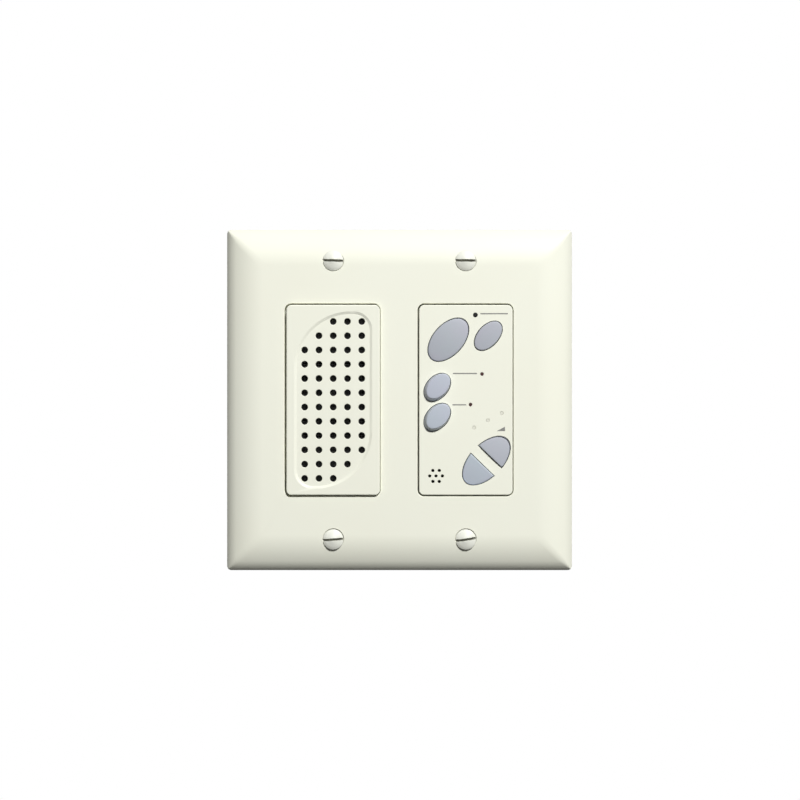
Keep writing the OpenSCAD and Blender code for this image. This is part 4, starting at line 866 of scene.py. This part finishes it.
# %% One set of wires
def wires(tree, take, upright, phase):
    """Every second wire of one direction, as instances on a line of points."""
    along, across = ("Height", "Width") if upright else ("Width", "Height")
    pairs_along, pairs_across = ("Row pairs", "Column pairs") if upright else ("Column pairs", "Row pairs")
    wire_axis, row_axis = ("Z", "X") if upright else ("X", "Z")
    over = -1.0 if upright else 1.0

    half = number(tree, "MULTIPLY", take[along], 0.5)
    line = put(tree, "GeometryNodeCurvePrimitiveLine", {
        "Start": vector(tree, **{wire_axis: number(tree, "MULTIPLY", half, -1.0)}),
        "End": vector(tree, **{wire_axis: half})})
    points = number(tree, "MULTIPLY_ADD", take[pairs_along], 4.0, 1.0)
    line = put(tree, "GeometryNodeResampleCurve", {"Curve": line.outputs[0], "Count": points})
    index = put(tree, "GeometryNodeInputIndex").outputs[0]
    wave = number(tree, "SINE", number(tree, "MULTIPLY_ADD", index, pi / 2, pi * phase))
    lift = number(tree, "MULTIPLY", wave, number(tree, "MULTIPLY", take["Wire radius"], over))
    line = put(tree, "GeometryNodeSetPosition",
               {"Geometry": line.outputs[0], "Offset": vector(tree, Y=lift)})
    ring = put(tree, "GeometryNodeCurvePrimitiveCircle", {"Resolution": 3, "Radius": take["Wire radius"]})
    wire = put(tree, "GeometryNodeCurveToMesh",
               {"Curve": line.outputs[0], "Profile Curve": ring.outputs[0], "Fill Caps": True})

    pitch = number(tree, "DIVIDE", take[across], number(tree, "MULTIPLY", take[pairs_across], 2.0))
    first = number(tree, "ADD", number(tree, "MULTIPLY", take[across], -0.5),
                   number(tree, "MULTIPLY", pitch, phase + 0.5))
    step = number(tree, "MULTIPLY", pitch, 2.0)
    row = put(tree, "GeometryNodeMeshLine", {
        "Count": take[pairs_across], "Start Location": vector(tree, **{row_axis: first}),
        "Offset": vector(tree, **{row_axis: step})})
    return put(tree, "GeometryNodeInstanceOnPoints",
               {"Points": row.outputs[0], "Instance": wire.outputs[0]}).outputs[0]


def end_tree(tree, out, geometry, coat, smooth=False):
    """Make the instances of a tree real, give them their finish and put them out."""
    last = put(tree, "GeometryNodeRealizeInstances", {"Geometry": geometry})
    if smooth:
        last = put(tree, "GeometryNodeSetShadeSmooth", {"Geometry": last.outputs[0]})
    last = put(tree, "GeometryNodeSetMaterial", {"Geometry": last.outputs[0], "Material": finish[coat]})
    tree.links.new(last.outputs[0], out.inputs["Geometry"])
    print(f"{tree.name}: tree of {len(tree.nodes)} nodes")


print("wires are laid in two directions and two phases")

# %% Weaving tree
COUNT, VECTOR, GEOMETRY = "NodeSocketInt", "NodeSocketVector", "NodeSocketGeometry"

weave, take, out = new_group(
    "woven_screen", "GeometryNodeTree",
    [("Width", FLOAT, 0.0287), ("Height", FLOAT, 0.0622), ("Column pairs", COUNT, 18),
     ("Row pairs", COUNT, 39), ("Wire radius", FLOAT, 0.000075), ("Centre", VECTOR, (0, 0, 0))],
    [("Geometry", GEOMETRY)])
joined = put(weave, "GeometryNodeJoinGeometry")
for phase in (0, 1):
    for upright in (True, False):
        weave.links.new(wires(weave, take, upright, phase), joined.inputs[0])
moved = put(weave, "GeometryNodeTransform",
            {"Geometry": joined.outputs[0], "Translation": take["Centre"]})
end_tree(weave, out, moved.outputs[0], "black_mesh", smooth=True)

# %% Growing a piece from a tree
def grown(name, tree, values, body, points=()):
    """Run a geometry tree on a few points and keep the result as a plain mesh."""
    seed = bpy.data.meshes.new(name + "_seed")
    seed.from_pydata([Vector(p) * MM for p in points], [], [])
    made = bpy.data.objects.new(name, seed)
    scene.collection.objects.link(made)
    nodes = made.modifiers.new("nodes", "NODES")
    nodes.node_group = tree
    ids = {item.name: item.identifier for item in tree.interface.items_tree if item.in_out == "INPUT"}
    for label, value in values.items():
        nodes[ids[label]] = value
    graph = bpy.context.evaluated_depsgraph_get()
    mesh = bpy.data.meshes.new_from_object(made.evaluated_get(graph), depsgraph=graph)
    made.modifiers.clear()
    made.data = mesh
    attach(made, body)
    mesh.calc_loop_triangles()
    print(f"{name}: {len(mesh.loop_triangles)} triangles")
    return made


SCREEN_PLAY = 0.0002
low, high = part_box("dust_screen")
screen = grown("woven_dust_screen", weave, {
    "Width": high.x - low.x - SCREEN_PLAY, "Height": high.z - low.z - SCREEN_PLAY,
    "Column pairs": 18, "Row pairs": 39,
    "Wire radius": (high.y - low.y) / 4, "Centre": (low + high) / 2}, "unit")
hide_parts("dust_screen")

# %% [markdown]
# ## The soft edge of the loudspeaker
# A rolled film joins the moving cone to the still frame: its outer side stays and its inner side
# follows the cone. A blend between two bodies runs along a straight line, which a ring hasn't got.
# It is cut into twelve sectors between planes through the loudspeaker's axis, each tied to no body.

# %% Sectors of the speaker edge
SECTORS, ROLL_OUT, ROLL_IN = 12, 15.8, 13.2

axis, half_turn = Vector((SPEAKER_X, 0, 0)), pi / SECTORS
for i in range(SECTORS):
    bm = joined_copy("speaker_surround")
    middle = 2 * half_turn * i
    for side in (-1, 1):
        cut = middle + side * half_turn
        bmesh.ops.bisect_plane(bm, geom=bm.verts[:] + bm.edges[:] + bm.faces[:], dist=CUT_DIST,
                               clear_outer=True, plane_co=axis,
                               plane_no=Vector((-sin(cut), 0, cos(cut))) * side)
        bmesh.ops.holes_fill(bm, edges=[e for e in bm.edges if e.is_boundary], sides=0)
    sector = shown_piece(f"speaker_edge_{i + 1}", bm, "speaker_surround", rides=False)
    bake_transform(sector)
print("speaker edge in", SECTORS, "sectors of", len(sector.data.polygons), "faces")

# %% [markdown]
# ## Threads
# The solids of the screws are plain rods of the thread's outer diameter. On the real part a
# rolled thread is what tells a screw from a pin, so the rod of the copy is thinned to the root
# and a ridge winds around it. Geometry Nodes sweep a small diamond along a spiral and put it on
# every screw of a set.

# %% Thread tree
thread, take, out = new_group(
    "screw_thread", "GeometryNodeTree",
    [("Screws", GEOMETRY, None), ("Length", FLOAT, 0.02), ("Pitch", FLOAT, 0.0008),
     ("Radius", FLOAT, 0.00145), ("Ridge", FLOAT, 0.0003)], [("Geometry", GEOMETRY)])
spiral = put(thread, "GeometryNodeCurveSpiral", {
    "Resolution": 20, "Rotations": number(thread, "DIVIDE", take["Length"], take["Pitch"]),
    "Start Radius": take["Radius"], "End Radius": take["Radius"], "Height": take["Length"]})
level_up = put(thread, "GeometryNodeSetCurveNormal", {"Curve": spiral.outputs[0]}, mode="Z_UP")
diamond = put(thread, "GeometryNodeCurvePrimitiveCircle", {"Resolution": 4, "Radius": take["Ridge"]})
ridge = put(thread, "GeometryNodeCurveToMesh",
            {"Curve": level_up.outputs[0], "Profile Curve": diamond.outputs[0], "Fill Caps": True})
lying = put(thread, "GeometryNodeTransform",
            {"Geometry": ridge.outputs[0], "Rotation": (radians(-90), 0, 0)})
spread = put(thread, "GeometryNodeInstanceOnPoints",
             {"Points": take["Screws"], "Instance": lying.outputs[0]})
end_tree(thread, out, spread.outputs[0], "zinc_steel")

# %% Threaded screws
ROD_R, ROOT_R, ROD_MARGIN = 1.75, 1.45, 0.03
PLATE_SCREW_Z, BOX_SCREW_Z = 48.42, 41.67
PLATE_THREAD, BOX_THREAD, THREAD_END = 7.5, 24.5, 0.25


def thinned(spots):
    """A change that draws the rods at those places in to the root of the thread."""
    def change(bm):
        for v in bm.verts:
            x, z = min(spots, key=lambda s: (s[0] - v.co.x / MM) ** 2 + (s[1] - v.co.z / MM) ** 2)
            off = Vector((v.co.x / MM - x, v.co.z / MM - z))
            if abs(off.length - ROD_R) < ROD_MARGIN:
                off = off * (ROOT_R / ROD_R)
                v.co.x, v.co.z = (x + off.x) * MM, (z + off.y) * MM
    return change


plate_spots = [(x, z) for x in (-GANG_X, GANG_X) for z in (-PLATE_SCREW_Z, PLATE_SCREW_Z)]
box_spots = [(x, z) for x in (-GANG_X, GANG_X) for z in (-BOX_SCREW_Z, BOX_SCREW_Z)]
rounded("plate_screws", width=0.05, change=thinned(plate_spots))
rounded("box_screws", width=0.1, change=thinned(box_spots))
grown("box_screw_threads", thread, {"Length": BOX_THREAD * MM}, "unit",
      [(x, THREAD_END, z) for x, z in box_spots])
plate_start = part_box("plate_screws")[1].y / MM - THREAD_END - PLATE_THREAD
grown("plate_screw_threads", thread, {"Length": PLATE_THREAD * MM}, "unit",
      [(x, plate_start, z) for x, z in plate_spots])

# %% [markdown]
# ## The back
# Behind the plate sit a charcoal housing in two depths, two bent zinc-plated straps and a green
# terminal block. They are rarely seen, but a reusable part is turned round, so their edges are
# rounded too, and thin ribs part the eight terminals from each other.

# %% Housing, straps and small screws
HOUSING_W, HOUSING_H, HOUSING_SKIN = 45.25, 35, 4.5
HOUSING_FRONT, HOUSING_STEP = 0.5, 13.9


def housing_outside(p):
    """Near the housing's outline or on its deeper half, but not at its front."""
    past_side = max(abs(p.x) - HOUSING_W, abs(p.z) - HOUSING_H)
    return p.y > HOUSING_FRONT and (past_side > -HOUSING_SKIN or p.y > HOUSING_STEP)


rounded("rear_housing", width=0.35, where=housing_outside)
for node in ("top_strap", "bottom_strap", "strap_screws"):
    rounded(node, width=0.1)
rounded("terminal_block", width=0.15)

# %% Terminal ribs
ribs, take, out = new_group(
    "terminal_ribs", "GeometryNodeTree",
    [("Count", COUNT, 9), ("Pitch", FLOAT, 0.005), ("Length", FLOAT, 0.0092), ("Thick", FLOAT, 0.0006),
     ("Height", FLOAT, 0.0009), ("Middle", VECTOR, (0, 0, 0))], [("Geometry", GEOMETRY)])
size = vector(ribs, X=take["Length"], Y=take["Height"], Z=take["Thick"])
block = put(ribs, "GeometryNodeMeshCube",
            {"Size": size, "Vertices X": 6, "Vertices Y": 3, "Vertices Z": 3})
half_count = number(ribs, "MULTIPLY", number(ribs, "SUBTRACT", take["Count"], 1.0), -0.5)
lowest = vector(ribs, Z=number(ribs, "MULTIPLY", take["Pitch"], half_count))
start = put(ribs, "ShaderNodeVectorMath", {0: take["Middle"], 1: lowest})
row = put(ribs, "GeometryNodeMeshLine",
          {"Count": take["Count"], "Start Location": start.outputs[0],
           "Offset": vector(ribs, Z=take["Pitch"])})
stand = put(ribs, "GeometryNodeInstanceOnPoints",
            {"Points": row.outputs[0], "Instance": block.outputs[0]})
end_tree(ribs, out, stand.outputs[0], "terminal_plastic")

low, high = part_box("terminal_block")
rib_middle = ((low.x + high.x) / 2, high.y, 0.0)
grown("terminal_block_ribs", ribs, {"Middle": rib_middle}, "unit")
